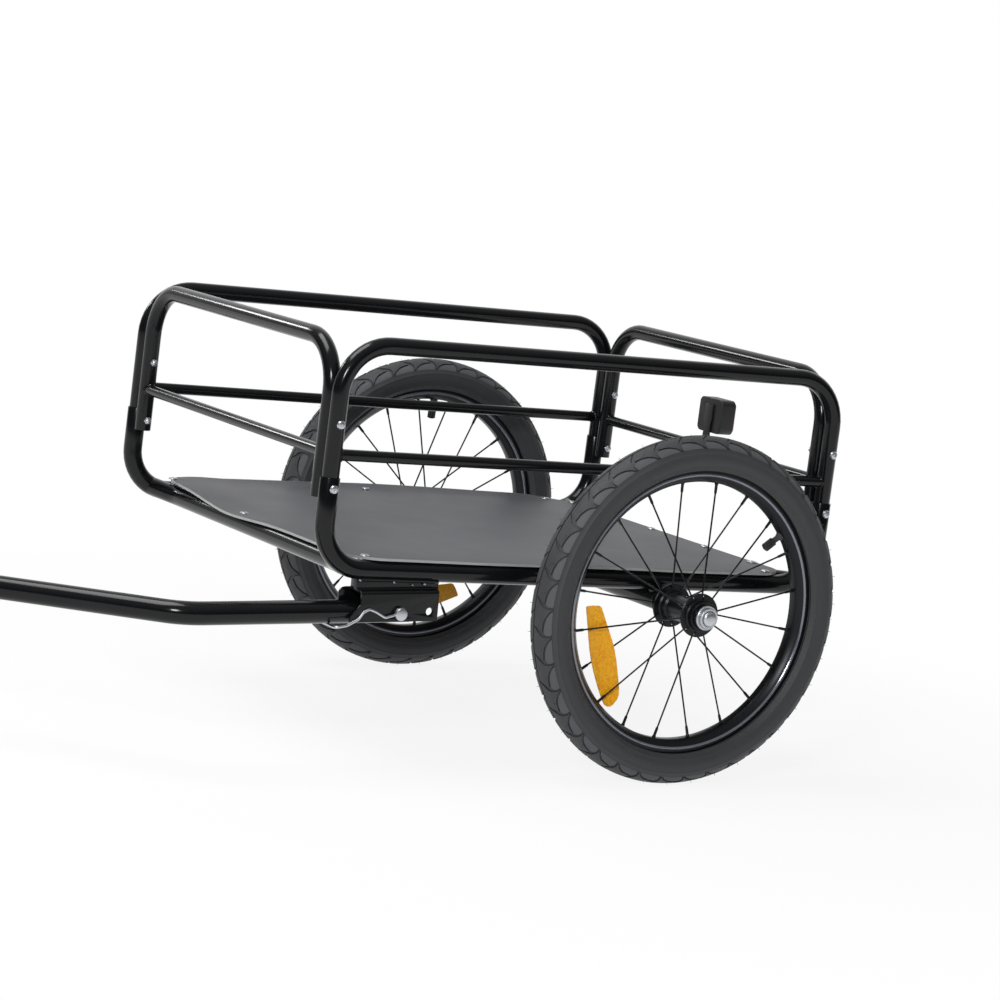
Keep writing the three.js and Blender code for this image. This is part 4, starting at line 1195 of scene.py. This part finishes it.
# Sections of a spoke's head and of its nipple, in millimetres
SPOKE_HEAD = ((0, 1.1), (1.1, 0.95), (1.9, 0.3), (1.9, 0), (0.9, -0.5), (0, -0.5))
NIPPLE = ((0, -11.5), (1.2, -11.5), (1.6, -9.9), (1.7, -1.8), (2.2, -0.8), (2.2, 0.9), (0, 0.9))


def spoke_with_nipple(wheel, way, angle):
    """One spoke: head outside the flange, elbow, straight run and nipple at the rim"""
    circle, station = wheel.spoke_circle, wheel.flange_station
    head = around(angle, circle, way * (station + 1.9 * MM))
    elbow = around(angle, circle, way * (station - 2.4 * MM))
    rim_end = around(angle, wheel.rim_inner - 0.6 * MM)
    corners = [head, elbow, rim_end]
    wire = pull_tube("spoke", corners, 2.2 * MM, wheel.spoke_radius, sides=8, lip=0)
    seat = around(angle, circle, way * (station + 1.5 * MM))
    cap = turn_on_lathe("spoke_head", in_mm(SPOKE_HEAD), seat, way * Y, 10)
    sleeve = turn_on_lathe("nipple", in_mm(NIPPLE), rim_end, rim_end - elbow, 12)
    return [wire, cap, sleeve]


class TRAILER_OT_spoked_hubs(bpy.types.Operator):
    """Turn the hubs, drill their flanges and lace ten radial spokes to each flange"""

    bl_idname = "trailer.spoked_hubs"
    bl_label = "Spoked hubs"

    def execute(self, context):
        scene = context.scene
        wheel = scene.trailer_wheel
        end, station = wheel.hub_half, wheel.flange_station
        # Shell end, flange and waist, then the bore with a bearing seat at each end
        half = in_mm([(16.6, 0), (17, -0.6)], (0, end))
        half += in_mm([(17, 2.9), (18.6, 1.6)], (0, station))
        rim = [(-0.6, 1.3), (0, 0.7), (0, -0.7), (-0.6, -1.3)]
        half += in_mm(rim, (wheel.flange_radius, station))
        half += in_mm([(18.6, -1.6), (17, -3.2), (16.2, -9), (14.2, -11)], (0, station))
        seat, bore, step = 12.2 * MM, 9 * MM, end - 6.4 * MM
        inside = [(seat, -end), (seat, -step), (bore, -step), (bore, step), (seat, step)]
        pairs = ring_of(half) + inside + [(seat, end)]
        shell = turn_on_lathe("hub_shell", pairs, steps=60)
        parts = [shell]
        for way, offset in ((-1, 0.5), (1, 1.5)):
            angle = math.pi / 10 * offset
            spot = around(angle, wheel.spoke_circle + 1.2 * MM, way * station)
            hole = drill(spot, -Y, 1.5 * MM, 6 * MM, 12)
            repeat_round(hole, 10)
            cut_with(shell, hole)
            for piece in spoke_with_nipple(wheel, way, angle):
                repeat_round(piece, 10)
                parts.append(piece)
        hub = join_all(parts, "spoked_hub")
        fit_pair(scene, hub, "spoked_hub", "black_steel", anodised(scene))
        return {"FINISHED"}


# Sections in millimetres: radius, and distance outboard from the wheel's middle plane
# A bearing is an outer race, a recessed shield and an inner race, as one turned face
BEARING = (
    (6.3, 32.2), (12, 32.2), (12, 40.9), (11.7, 41.2), (10.2, 41.2), (10, 40.6), (8.4, 40.6),
    (8.2, 41.2), (6.5, 41.2), (6.3, 41),
)  # fmt: skip
STUB_AXLE = (
    (6, -85), (6, 41.5), (13.2, 41.5), (13.75, 42), (13.75, 43.9), (13.2, 44.5), (12.2, 44.5),
    (11.8, 44), (11.3, 44), (11.3, 47.9), (10.8, 48.5), (9.3, 48.5), (8.8, 48), (8.8, 43.5),
    (4.3, 43.5), (4.3, 28.5), (2.7, 28.5), (2.7, -85.5), (5.5, -85.5),
)  # fmt: skip
BUTTON = (
    (0, -43), (1.9, -43), (1.9, 47), (8.2, 47), (8.5, 47.3), (8.5, 49.3), (8.2, 50.2), (7.3, 51.2),
    (5.2, 52.1), (2.6, 52.45), (0, 52.5),
)  # fmt: skip


class TRAILER_OT_axle_fittings(bpy.types.Operator):
    """Turn the bearings, stub axles and release buttons"""

    bl_idname = "trailer.axle_fittings"
    bl_label = "Bearings, axles and buttons"

    def execute(self, context):
        scene = context.scene
        steel = zinc_plate(scene, "ground_bearing_steel", (0.16, 0.3))
        zinc, wire = zinc_plate(scene), spring_wire(scene)
        for kind, way in (("outer_bearing", -1), ("inner_bearing", 1)):
            bearing = turn_on_lathe(kind, in_mm(BEARING, way=way), steps=48)
            fit_pair(scene, bearing, kind, "bearing_steel", steel)
        axle = turn_on_lathe("axle", in_mm(STUB_AXLE, way=-1), steps=64)
        fit_pair(scene, axle, "stub_axle", "bright_zinc", zinc, body="frame")
        button = turn_on_lathe("button", in_mm(BUTTON, way=-1), steps=48)
        fit_pair(scene, button, "release_button", "bright_zinc", zinc, body="button")
        for side, _ in SIDES:
            spring = frame["nodes"][f"{side}_button_spring"]
            spring.data.materials.clear()
            spring.data.materials.append(wire)
        return {"FINISHED"}


# The reflector's outline in millimetres: outwards from its middle, and along it
REFLECTOR = (
    (0.0, -60.2), (2.0, -59.6), (4.5, -49.0), (7.5, -36.0), (9.7, -27.0), (12.9, -13.0), (15.3, 1.5),
    (16.3, 15.5), (16.8, 32.0), (16.5, 47.5), (15.6, 55.5), (13.4, 59.0), (9.8, 60.9), (6.2, 60.6),
    (-1.2, 57.2), (-4.8, 53.2), (-7.6, 46.0), (-11.0, 30.5), (-14.2, 14.5), (-16.0, 1.0), (-16.5, -7.0),
    (-16.3, -17.0), (-16.0, -28.0), (-15.8, -41.0), (-15.6, -51.0), (-14.3, -53.8), (-7.4, -57.4),
)  # fmt: skip


class TRAILER_OT_wheel_reflectors(bpy.types.Operator):
    """Mould the amber reflectors with a raised border, a boss and the clip that grips the spokes"""

    bl_idname = "trailer.wheel_reflectors"
    bl_label = "Wheel reflectors"

    def execute(self, context):
        scene = context.scene
        plate = cut_across("Y", "plate", REFLECTOR, 1.3, -2.6)
        self.sink_front(plate, 1.6 * MM, -0.8 * MM)
        soften(plate, 0.35 * MM, angle=45)
        boss = [(0, -0.9), (1.6, -0.9), (1.9, -1.7), (3.4, -1.7), (3.8, -1.2), (3.8, 0), (0, 0)]
        boss = turn_on_lathe("boss", in_mm(boss), steps=24)
        rib = [(-14.6, -33.5), (8.0, -32.5), (8.0, -31.3), (-14.6, -32.3)]
        rib = cut_across("Y", "rib", rib, 0, -1.3)
        clip = cut_across("Y", "clip", rounded(9, 12, 2, 4), 1, 7.2)
        cut_with(clip, cut_across("Y", "slot", rounded(4.6, 30, 1, 2), 5.2, 9))
        soften(clip, 0.5 * MM)
        piece = join_all([plate, boss, rib, clip], "wheel_reflector")
        turned = Matrix.Rotation(-math.radians(169.5), 4, "Y")
        piece.data.transform(turned @ Matrix.Translation(mm(115.25, 0, 0)))
        amber = prism_plastic("amber_prism_acrylic", scene.trailer_colours.amber)
        fit_pair(scene, piece, "wheel_reflector", "amber_plastic", amber)
        return {"FINISHED"}

    @staticmethod
    def sink_front(plate, inset, sink):
        """Sets the large face towards -Y back inside a border"""
        take_up(plate)
        front = min(plate.data.polygons, key=lambda face: (face.normal.y > -0.9, -face.area))
        for item in (*plate.data.vertices, *plate.data.edges, *plate.data.polygons):
            item.select = False
        front.select = True
        bpy.ops.object.mode_set(mode="EDIT")
        bpy.ops.mesh.select_mode(type="FACE")
        bpy.ops.mesh.inset(thickness=inset, depth=sink)
        bpy.ops.object.mode_set(mode="OBJECT")


# Rear reflector

# Its strap's outline, in millimetres across and above the middle bar
STRAP = (
    (-8, 7.5), (8, 7.5), (6.5, 18), (6.5, 30), (8, 36), (8, 54.8), (-8, 54.8), (-8, 36), (-6.5, 30),
    (-6.5, 18),
)  # fmt: skip


def extent(low, high):
    """A box's depth, width and height in millimetres, and the middle of its front face"""
    deep, wide, tall = (high - low) / MM
    return deep, wide, tall, Vector((low.x, (low.y + high.y) / 2, (low.z + high.z) / 2))


class TRAILER_OT_rear_reflector(bpy.types.Operator):
    """Mould the rear reflector's housing and lens and the strap that clamps it to the middle bar"""

    bl_idname = "trailer.rear_reflector"
    bl_label = "Rear reflector"

    def execute(self, context):
        scene = context.scene
        at = places(scene)
        black = moulded_plastic(scene)
        spot = Vector((at.leg_x, 0, at.bar_z))
        clamp = in_mm([(9.5, -8), (9.5, 8), (6.65, 8), (6.65, -8)])
        clamp = turn_on_lathe("clamp", clamp, spot, Y, 36)
        soften(clamp, 0.7 * MM)
        plate = cut_across("X", "strap", STRAP, -2.7, 2.4, spot)
        soften(plate, 0.6 * MM)
        ear = cut_across("X", "ear", rounded(14, 12, 3, 4), -7, 14, spot - mm(0, 0, 10))
        soften(ear, 0.6 * MM)
        screw = in_mm([(0, -10), (2.6, -10), (2.6, 10), (0, 10)])
        screw = turn_on_lathe("clamp_screw", screw, spot - mm(0, 0, 11.5), X, 20)
        soften(screw, 0.5 * MM)
        strap = join_all([clamp, plate, ear, screw], "reflector_strap_moulded")
        hand_over(strap, "frame", "black_plastic", black, "reflector_strap")
        deep, wide, tall, face = extent(*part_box("reflector_housing"))
        name = "reflector_housing_moulded"
        shell = cut_across("X", name, rounded(wide, tall, 7), 0, deep, face)
        recess = rounded(wide - 5, tall - 5, 4.6)
        cut_with(shell, cut_across("X", "recess", recess, deep - 2.5, 9, face))
        soften(shell, 0.9 * MM, steps=3)
        hand_over(shell, "frame", "black_plastic", black, "reflector_housing")
        deep, wide, tall, face = extent(*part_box("reflector_lens"))
        name = "reflector_lens_moulded"
        lens = cut_across("X", name, rounded(wide, tall, 4.2), 0, deep, face)
        soften(lens, 1.2 * MM, steps=3)
        red = prism_plastic("red_prism_acrylic", scene.trailer_colours.red)
        hand_over(lens, "frame", "red_plastic", red, "reflector_lens")
        return {"FINISHED"}


# Hitch: made about the pin, with X along the drawbar, then set in place


def hitch_place(scene, offset=Vector()):
    slope = Matrix.Rotation(-scene.trailer_hitch.pitch, 4, "Y")
    return Matrix.Translation(PIN_AT) @ slope @ Matrix.Translation(offset)


def drawbar_end(hitch):
    """The front end of the drawbar's axis, counted from the pin"""
    return Vector((-(hitch.bar_run + hitch.bar_shift + hitch.bar_front), hitch.bar_shift, 0))


# What is cut off the bracket's front, in millimetres along and up from the pin
BRACKET_STEP = ((-62, 26), (-48, 26), (-48, 10), (-60, -3), (-62, -3))


class TRAILER_OT_hitch_bracket(bpy.types.Operator):
    """Fold the hitch bracket, cut its nose and holes and weld its neck to the side tube"""

    bl_idname = "trailer.hitch_bracket"
    bl_label = "Hitch bracket"

    def execute(self, context):
        scene = context.scene
        hitch, quarter = scene.trailer_hitch, math.pi / 2
        outer, plate = hitch.bracket_width / 2, hitch.bracket_plate
        inner = outer - plate
        top, bottom, bend = 25 * MM, -9 * MM, 4 * MM
        section = [(-inner, bottom), (-outer, bottom)]
        section += arc((bend - outer, top - bend), bend, math.pi, quarter, 6)
        section += arc((outer - bend, top - bend), bend, quarter, 0, 6)
        section += [(outer, bottom), (inner, bottom), (inner, top - plate), (-inner, top - plate)]
        section = [(-60 * MM, y, z) for y, z in section]
        body = cut_plate("bracket", section, (hitch.bracket_length, 0, 0))
        # The near wall and the top are cut back at the front, and the far wall's corner is round
        step = [mm(x, -17, z) for x, z in BRACKET_STEP]
        cut_with(body, cut_plate("step", step, (0, 17 * MM + inner, 0)))
        nose = [(-61, 26), *arc((-51, 16), 9, quarter, math.pi, 8), (-61, 16)]
        nose = [(x * MM, inner, z * MM) for x, z in nose]
        cut_with(body, cut_plate("nose", nose, (0, 5 * MM, 0)))
        for x, z in ((0, 0), (37, 1.6)):
            cut_with(body, drill(mm(x, 0, z), -Y, 4.3 * MM, 40 * MM))
        soften(body, 0.5 * MM, angle=50)
        neck = [(-50.5, -7), (51, -7), (51, 7), (-50.5, 7)]
        neck = cut_across("Z", "neck", neck, 24, 14)
        soften(neck, 0.8 * MM)
        beads = []
        for way in (-1, 1):
            # A bead at the neck's foot and a thicker one at its head
            for radius, out, front, rear in ((1.7, 7.4, 24.8, 24.8), (1.9, 7.2, 36.1, 32.4)):
                run = [mm(-49.5, way * out, front), mm(50, way * out, rear)]
                beads.append(pull_tube("bead", run, 0, radius * MM, sides=10))
        body = join_all([body, neck, *beads], "hitch_bracket_folded")
        body.data.transform(hitch_place(scene))
        hand_over(body, "frame", "black_paint", powder_coat(scene), "hitch_bracket")
        # Bright zinc domes along the neck's welds, painted glints that stand in for highlights on the
        # weld's ripples: place along and above the pin, and size
        glint_domes = []
        for x, z, reach in ((-48, 35.6, 1.5), (-6, 32.8, 1.3), (17, 29.8, 1), (32, 30.5, 1.5)):
            pairs = [(0, reach), (0.6 * reach, 0.8 * reach), (reach, 0.1 * reach)]
            pairs = in_mm([*pairs, (0.7 * reach, -0.8), (0, -0.8)])
            glint_domes.append(turn_on_lathe("glint_dome", pairs, mm(x, -9, z), -Y, 14))
        glint_domes = join_all(glint_domes, "bracket_weld_drops")
        glint_domes.data.transform(hitch_place(scene))
        hand_over(glint_domes, "frame", "bright_zinc", zinc_plate(scene))
        return {"FINISHED"}


class TRAILER_OT_drawbar(bpy.types.Operator):
    """Bend the drawbar to the side that the bicycle's wheel leaves free"""

    bl_idname = "trailer.drawbar"
    bl_label = "Drawbar"

    def execute(self, context):
        scene = context.scene
        hitch = scene.trailer_hitch
        run, shift = hitch.bar_run, hitch.bar_shift
        corners = [(20 * MM, 0, 0), (-run, 0, 0), (-run - shift, shift, 0), drawbar_end(hitch)]
        bar = pull_tube(
            "drawbar_bent", corners, hitch.bar_bend, hitch.bar_radius, hitch.bar_wall, sides=44
        )
        bar.data.transform(hitch_place(scene))
        hand_over(bar, "frame", "black_paint", powder_coat(scene), "drawbar")
        return {"FINISHED"}


# The pin's section, in millimetres of radius and across the bracket
HITCH_PIN = (
    (0, -23), (4.6, -23), (6.4, -22.4), (7.2, -21.2), (7.2, -19.4), (4, -19.4), (4, 21.4),
    (3.2, 22.5), (0, 22.5),
)  # fmt: skip
# One arm of the bail's wire, in millimetres along the drawbar and up
BAIL_ARM = (
    (-5.6, -1.1), (-18, -3.9), (-29.5, 2.4), (-38, 5.6), (-45, 2.4), (-50.5, -5), (-64, -11.8),
    (-78, -14),
)  # fmt: skip


class TRAILER_OT_hitch_pin(bpy.types.Operator):
    """Turn the hitch pin and bend the wire bail that keeps it in"""

    bl_idname = "trailer.hitch_pin"
    bl_label = "Hitch pin and bail"

    def execute(self, context):
        scene = context.scene
        pin = turn_on_lathe("hitch_pin_turned", in_mm(HITCH_PIN), steps=40)
        pin.data.transform(hitch_place(scene))
        hand_over(pin, "frame", "bright_zinc", zinc_plate(scene), "hitch_pin")
        run = [mm(x, -17.75, z) for x, z in BAIL_ARM]
        run += [mm(x, 17.75, z) for x, z in reversed(BAIL_ARM)]
        radius = scene.trailer_hitch.wire_radius
        parts = [pull_tube("bail_wire", run, 5.5 * MM, radius, sides=12, lip=0.3 * MM)]
        for way in (-1, 1):
            eye = in_mm([(4.45, 16.4), (6.8, 16.4), (6.8, 18.6), (4.45, 18.6)], way=way)
            eye = turn_on_lathe("eye", eye, steps=36)
            soften(eye, 0.9 * MM, steps=3)
            parts.append(eye)
        bail = join_all(parts, "pin_bail_bent")
        bail.data.transform(hitch_place(scene))
        hand_over(bail, "bail", "spring_wire", spring_wire(scene), "pin_bail")
        return {"FINISHED"}


# Sections in millimetres: the plug from the drawbar's end, and a pin's head and tail
PLUG = (
    (0, 28), (9.6, 28), (10.4, 27.2), (10.4, -0.3), (12.2, -0.3), (12.7, -0.8), (12.7, -3.8),
    (12.2, -4.3), (0, -4.3),
)  # fmt: skip
PIN_HEAD = ((0, -3), (5.4, -3), (6.6, -2.5), (7, -1.6), (7, 0), (4, 0))
PIN_TAIL = ((4, -0.8), (3.2, 0), (0, 0))


def strip(pivot, radius, square_end):
    """An outline with a round end about a pivot and a square end"""
    start = 1.5 * math.pi if square_end > pivot else -0.5 * math.pi
    tip = arc((pivot, 0), radius, start, math.pi / 2, 12)
    return [(square_end, -radius), *tip, (square_end, radius)]


def belt(first, small, second, large):
    """The outline round two circles, each given by its middle and its radius"""
    lean = math.atan2(second[1] - first[1], second[0] - first[0])
    reach = math.hypot(second[0] - first[0], second[1] - first[1])
    opening = math.acos((small - large) / reach)
    near = arc(first, small, lean + opening, lean + 2 * math.pi - opening, 14)
    return near + arc(second, large, lean - opening, lean + opening, 14)


class TRAILER_OT_coupling(bpy.types.Operator):
    """Make the coupling: tongue, yoke, their two pins and the plate for the bicycle's axle"""

    bl_idname = "trailer.coupling"
    bl_label = "Coupling"

    def execute(self, context):
        scene = context.scene
        zinc, paint = zinc_plate(scene), powder_coat(scene)
        set_in = hitch_place(scene, drawbar_end(scene.trailer_hitch))
        # Stations in millimetres from the drawbar's end, and the radius of the holes for the pins
        collar, yaw, web_back, web_front, pitch, hole = -4.3, -18.5, -31.7, -36.7, -52.7, 4.3
        plug = turn_on_lathe("plug", in_mm(PLUG), axis=X, steps=40)
        blade = cut_across("Z", "blade", strip(yaw, 12, collar + 2), -5, 10)
        self.bore(blade, (yaw, 0, 0), Z, hole)
        soften(blade, 0.8 * MM)
        tongue = join_all([plug, blade], "coupling_tongue_made")
        tongue.data.transform(set_in)
        hand_over(tongue, "frame", "bright_zinc", zinc, "coupling_tongue")
        parts = []
        for low in (5.3, -9.3):
            fork = cut_across("Z", "fork", strip(yaw, 13, web_front), low, 4)
            self.bore(fork, (yaw, 0, 0), Z, hole)
            parts.append(fork)
        web = [(-13, -9.2), (13, -9.2), (13, 9.2), (-13, 9.2)]
        parts.append(cut_across("X", "web", web, web_front, web_back - web_front))
        lug = cut_across("Y", "lug", strip(pitch, 9.3, web_front + 2.5), -5, 10)
        self.bore(lug, (pitch, 0, 0), Y, hole)
        parts.append(lug)
        for part in parts:
            soften(part, 0.7 * MM)
        yoke = join_all(parts, "coupling_yoke_made")
        yoke.data.transform(set_in)
        hand_over(yoke, "yoke", "black_paint", paint, "coupling_yoke")
        for name, body, head, tail, station, axis in (
            ("upright_pin", "frame", -9.6, 13.3, yaw, -Z),
            ("cross_pin", "yoke", -5.3, 14.3, pitch, Y),
        ):
            pairs = in_mm(PIN_HEAD, (0, head * MM)) + in_mm(PIN_TAIL, (0, tail * MM))
            made = turn_on_lathe(name + "_turned", pairs, mm(station, 0, 0), axis, 32)
            made.data.transform(set_in)
            hand_over(made, body, "bright_zinc", zinc, name)
        outline = belt((pitch, 0), 13, (pitch - 50, 26), 16)
        plate = cut_across("Y", "axle_plate_cut", outline, 5.3, 5)
        self.bore(plate, (pitch, 0, 0), Y, hole)
        # The bicycle's axle goes through here
        self.bore(plate, (pitch - 50, 0, 26), Y, 5.3)
        soften(plate, 0.7 * MM)
        plate.data.transform(set_in)
        hand_over(plate, "axle_plate", "bright_zinc", zinc, "axle_plate")
        return {"FINISHED"}

    @staticmethod
    def bore(piece, spot, axis, radius):
        cut_with(piece, drill(mm(*spot), axis, radius * MM, 80 * MM))


# Stage

# Name, place, aim, width and height, and power of each lamp
LAMPS = (
    ("overhead_softbox", (-1.0, 0.15, 2.0), (-0.1, 0, 0), (1.4, 1.2), 34),
    ("front_left_softbox", (-2.4, -2.6, 1.5), (0, 0, 0.05), (0.6, 0.6), 50),
    ("far_left_softbox", (-1.3, 2.5, 1.3), (0, 0, 0.05), (0.45, 0.4), 10),
)

# The camera that was fitted to the photograph: its place, its right and its up
CAMERA_AT = (-1.9812, -3.2744, 0.5256)
CAMERA_RIGHT = (0.8524, -0.5073, 0.1266)
CAMERA_UP = (-0.0421, 0.1746, 0.9837)


def ray_test(tree, *kinds):
    """One for these kinds of ray and zero for the others"""
    rays = node(tree, "ShaderNodeLightPath").outputs
    found = rays[kinds[0]]
    for kind in kinds[1:]:
        both = {0: found, 1: rays[kind]}
        found = node(tree, "ShaderNodeMath", {"operation": "MAXIMUM"}, both).outputs[0]
    return found


def blend(tree, share, first, second):
    """Two surfaces or backgrounds mixed by a share that is linked in"""
    feed = {0: share, 1: first.outputs[0], 2: second.outputs[0]}
    return node(tree, "ShaderNodeMixShader", links=feed)


class TRAILER_OT_stage(bpy.types.Operator):
    """Set up the pale floor, the soft studio light and the camera"""

    bl_idname = "trailer.stage"
    bl_label = "Stage"

    def execute(self, context):
        scene = context.scene
        clear_bench()
        bpy.ops.mesh.primitive_circle_add(
            vertices=96, radius=9, fill_type="NGON", location=(0, 0, places(scene).floor_z)
        )
        floor = claim("studio_floor")
        floor.data.materials.append(self.floor_paint())
        for name, spot, target, extents, power in LAMPS:
            lamp = bpy.data.lights.new(name, "AREA")
            lamp.shape = "RECTANGLE"
            lamp.size, lamp.size_y = extents
            lamp.energy = power
            holder = bpy.data.objects.new(name, lamp)
            holder.location = spot
            aim = Vector(target) - Vector(spot)
            holder.rotation_euler = aim.to_track_quat("-Z", "Y").to_euler()
            scene.collection.objects.link(holder)
        self.paint_surroundings(scene)
        lens = bpy.data.cameras.new("viewpoint")
        lens.lens, lens.sensor_width = 117.94, 36
        lens.clip_start, lens.clip_end = 0.05, 60
        camera = bpy.data.objects.new("viewpoint", lens)
        right = Vector(CAMERA_RIGHT).normalized()
        back = right.cross(Vector(CAMERA_UP)).normalized()
        turned = Matrix((right, back.cross(right), back)).transposed().to_4x4()
        camera.matrix_world = Matrix.Translation(CAMERA_AT) @ turned
        scene.collection.objects.link(camera)
        scene.camera = camera
        scene.view_settings.view_transform = "Standard"
        return {"FINISHED"}

    @staticmethod
    def floor_paint():
        """White studio paper: takes the soft shadow near the trailer and fades to plain white"""
        material, tree, place = open_finish("studio_paper")
        far_off = node(tree, "ShaderNodeVectorMath", {"operation": "LENGTH"}, {0: place})
        span = {"From Min": 0.55, "From Max": 1.25, "interpolation_type": "SMOOTHSTEP"}
        feed = {"Value": far_off.outputs["Value"]}
        fade = node(tree, "ShaderNodeMapRange", span, feed).outputs[0]
        grain = node(tree, "ShaderNodeTexNoise", {"Scale": 40, "Detail": 3}, {"Vector": place})
        tones = {"data_type": "RGBA", 6: (0.9, 0.9, 0.9, 1), 7: (0.93, 0.93, 0.93, 1)}
        paper = node(tree, "ShaderNodeMix", tones, {0: grain.outputs["Fac"]})
        lit = node(tree, "ShaderNodeBsdfDiffuse", links={"Color": paper.outputs[2]})
        white = node(tree, "ShaderNodeEmission", {"Strength": 1})
        feed = {1: lit.outputs[0], 2: white.outputs[0]}
        lifted = node(tree, "ShaderNodeMixShader", {0: 0.88}, feed)
        # Diffuse light comes back from lit paper; camera, mirrors and glass see it lifted to white
        seen = ray_test(tree, "Is Camera Ray", "Is Glossy Ray", "Is Transmission Ray")
        both = blend(tree, seen, lit, blend(tree, fade, lifted, white))
        node(tree, "ShaderNodeOutputMaterial", links={"Surface": both.outputs[0]})
        return material

    @staticmethod
    def paint_surroundings(scene):
        """White to the camera; reflections see a bright ceiling over a dimmer room"""
        world = bpy.data.worlds.new("studio")
        world.use_nodes = True
        tree = world.node_tree
        tree.nodes.clear()
        direction = node(tree, "ShaderNodeTexCoord").outputs["Generated"]
        height = node(tree, "ShaderNodeSeparateXYZ", links={0: direction}).outputs["Z"]
        span = {"From Min": 0.1, "From Max": 0.9, "To Min": 0.03, "To Max": 0.4}
        rise = node(tree, "ShaderNodeMapRange", span, {"Value": height}).outputs[0]
        # A white wall stands behind the trailer, and the room on this side of it is dark
        wall_way = {"operation": "DOT_PRODUCT", 1: (0.52, 0.84, 0.1)}
        across = node(tree, "ShaderNodeVectorMath", wall_way, {0: direction}).outputs["Value"]
        span = {"From Min": 0.25, "From Max": 0.85, "interpolation_type": "SMOOTHSTEP"}
        wall = node(tree, "ShaderNodeMapRange", span, {"Value": across}).outputs[0]
        glow = node(tree, "ShaderNodeMath", {"operation": "MAXIMUM"}, {0: rise, 1: wall})
        paint = {"Color": (1, 1, 1, 1)}
        room = node(tree, "ShaderNodeBackground", {**paint, "Strength": 0.3})
        mirrored = node(tree, "ShaderNodeBackground", paint, {"Strength": glow.outputs[0]})
        white = node(tree, "ShaderNodeBackground", {**paint, "Strength": 1})
        glossy = blend(tree, ray_test(tree, "Is Glossy Ray"), room, mirrored)
        seen = ray_test(tree, "Is Camera Ray", "Is Transmission Ray")
        both = blend(tree, seen, glossy, white)
        node(tree, "ShaderNodeOutputWorld", links={"Surface": both.outputs[0]})
        scene.world = world


STEPS = (
    TRAILER_OT_lower_tubes,
    TRAILER_OT_side_hoops,
    TRAILER_OT_end_panels,
    TRAILER_OT_crossbars,
    TRAILER_OT_axle_tube,
    TRAILER_OT_deck_board,
    TRAILER_OT_deck_screws,
    TRAILER_OT_corner_bolts,
    TRAILER_OT_tyres,
    TRAILER_OT_rims,
    TRAILER_OT_inner_tubes,
    TRAILER_OT_spoked_hubs,
    TRAILER_OT_axle_fittings,
    TRAILER_OT_wheel_reflectors,
    TRAILER_OT_rear_reflector,
    TRAILER_OT_hitch_bracket,
    TRAILER_OT_drawbar,
    TRAILER_OT_hitch_pin,
    TRAILER_OT_coupling,
    TRAILER_OT_stage,
)


class TRAILER_PT_panel(bpy.types.Panel):
    """Lists the trailer's pieces and settings"""

    bl_idname = "TRAILER_PT_panel"
    bl_label = "Cargo bike trailer"
    bl_space_type = "VIEW_3D"
    bl_region_type = "UI"
    bl_category = "Trailer"

    def draw(self, context):
        for step in STEPS:
            self.layout.operator(step.bl_idname)
        for group in SETTINGS:
            box = self.layout.box()
            for key in getattr(context.scene, group).bl_rna.properties.keys():
                if key not in ("rna_type", "name"):
                    box.prop(getattr(context.scene, group), key)


SETTINGS = {
    "trailer_cage": CageSizes,
    "trailer_deck": DeckSizes,
    "trailer_wheel": WheelSizes,
    "trailer_hitch": HitchSizes,
    "trailer_colours": TrailerColours,
}


def register():
    for group, kind in SETTINGS.items():
        bpy.utils.register_class(kind)
        setattr(bpy.types.Scene, group, PointerProperty(type=kind))
    for kind in (*STEPS, TRAILER_PT_panel):
        bpy.utils.register_class(kind)


def unregister():
    for kind in reversed((*STEPS, TRAILER_PT_panel)):
        bpy.utils.unregister_class(kind)
    for group, kind in SETTINGS.items():
        delattr(bpy.types.Scene, group)
        bpy.utils.unregister_class(kind)


def main():
    register()
    for step in STEPS:
        getattr(bpy.ops.trailer, step.bl_idname.split(".")[1])()
    clear_bench()


if __name__ == "__main__":
    main()
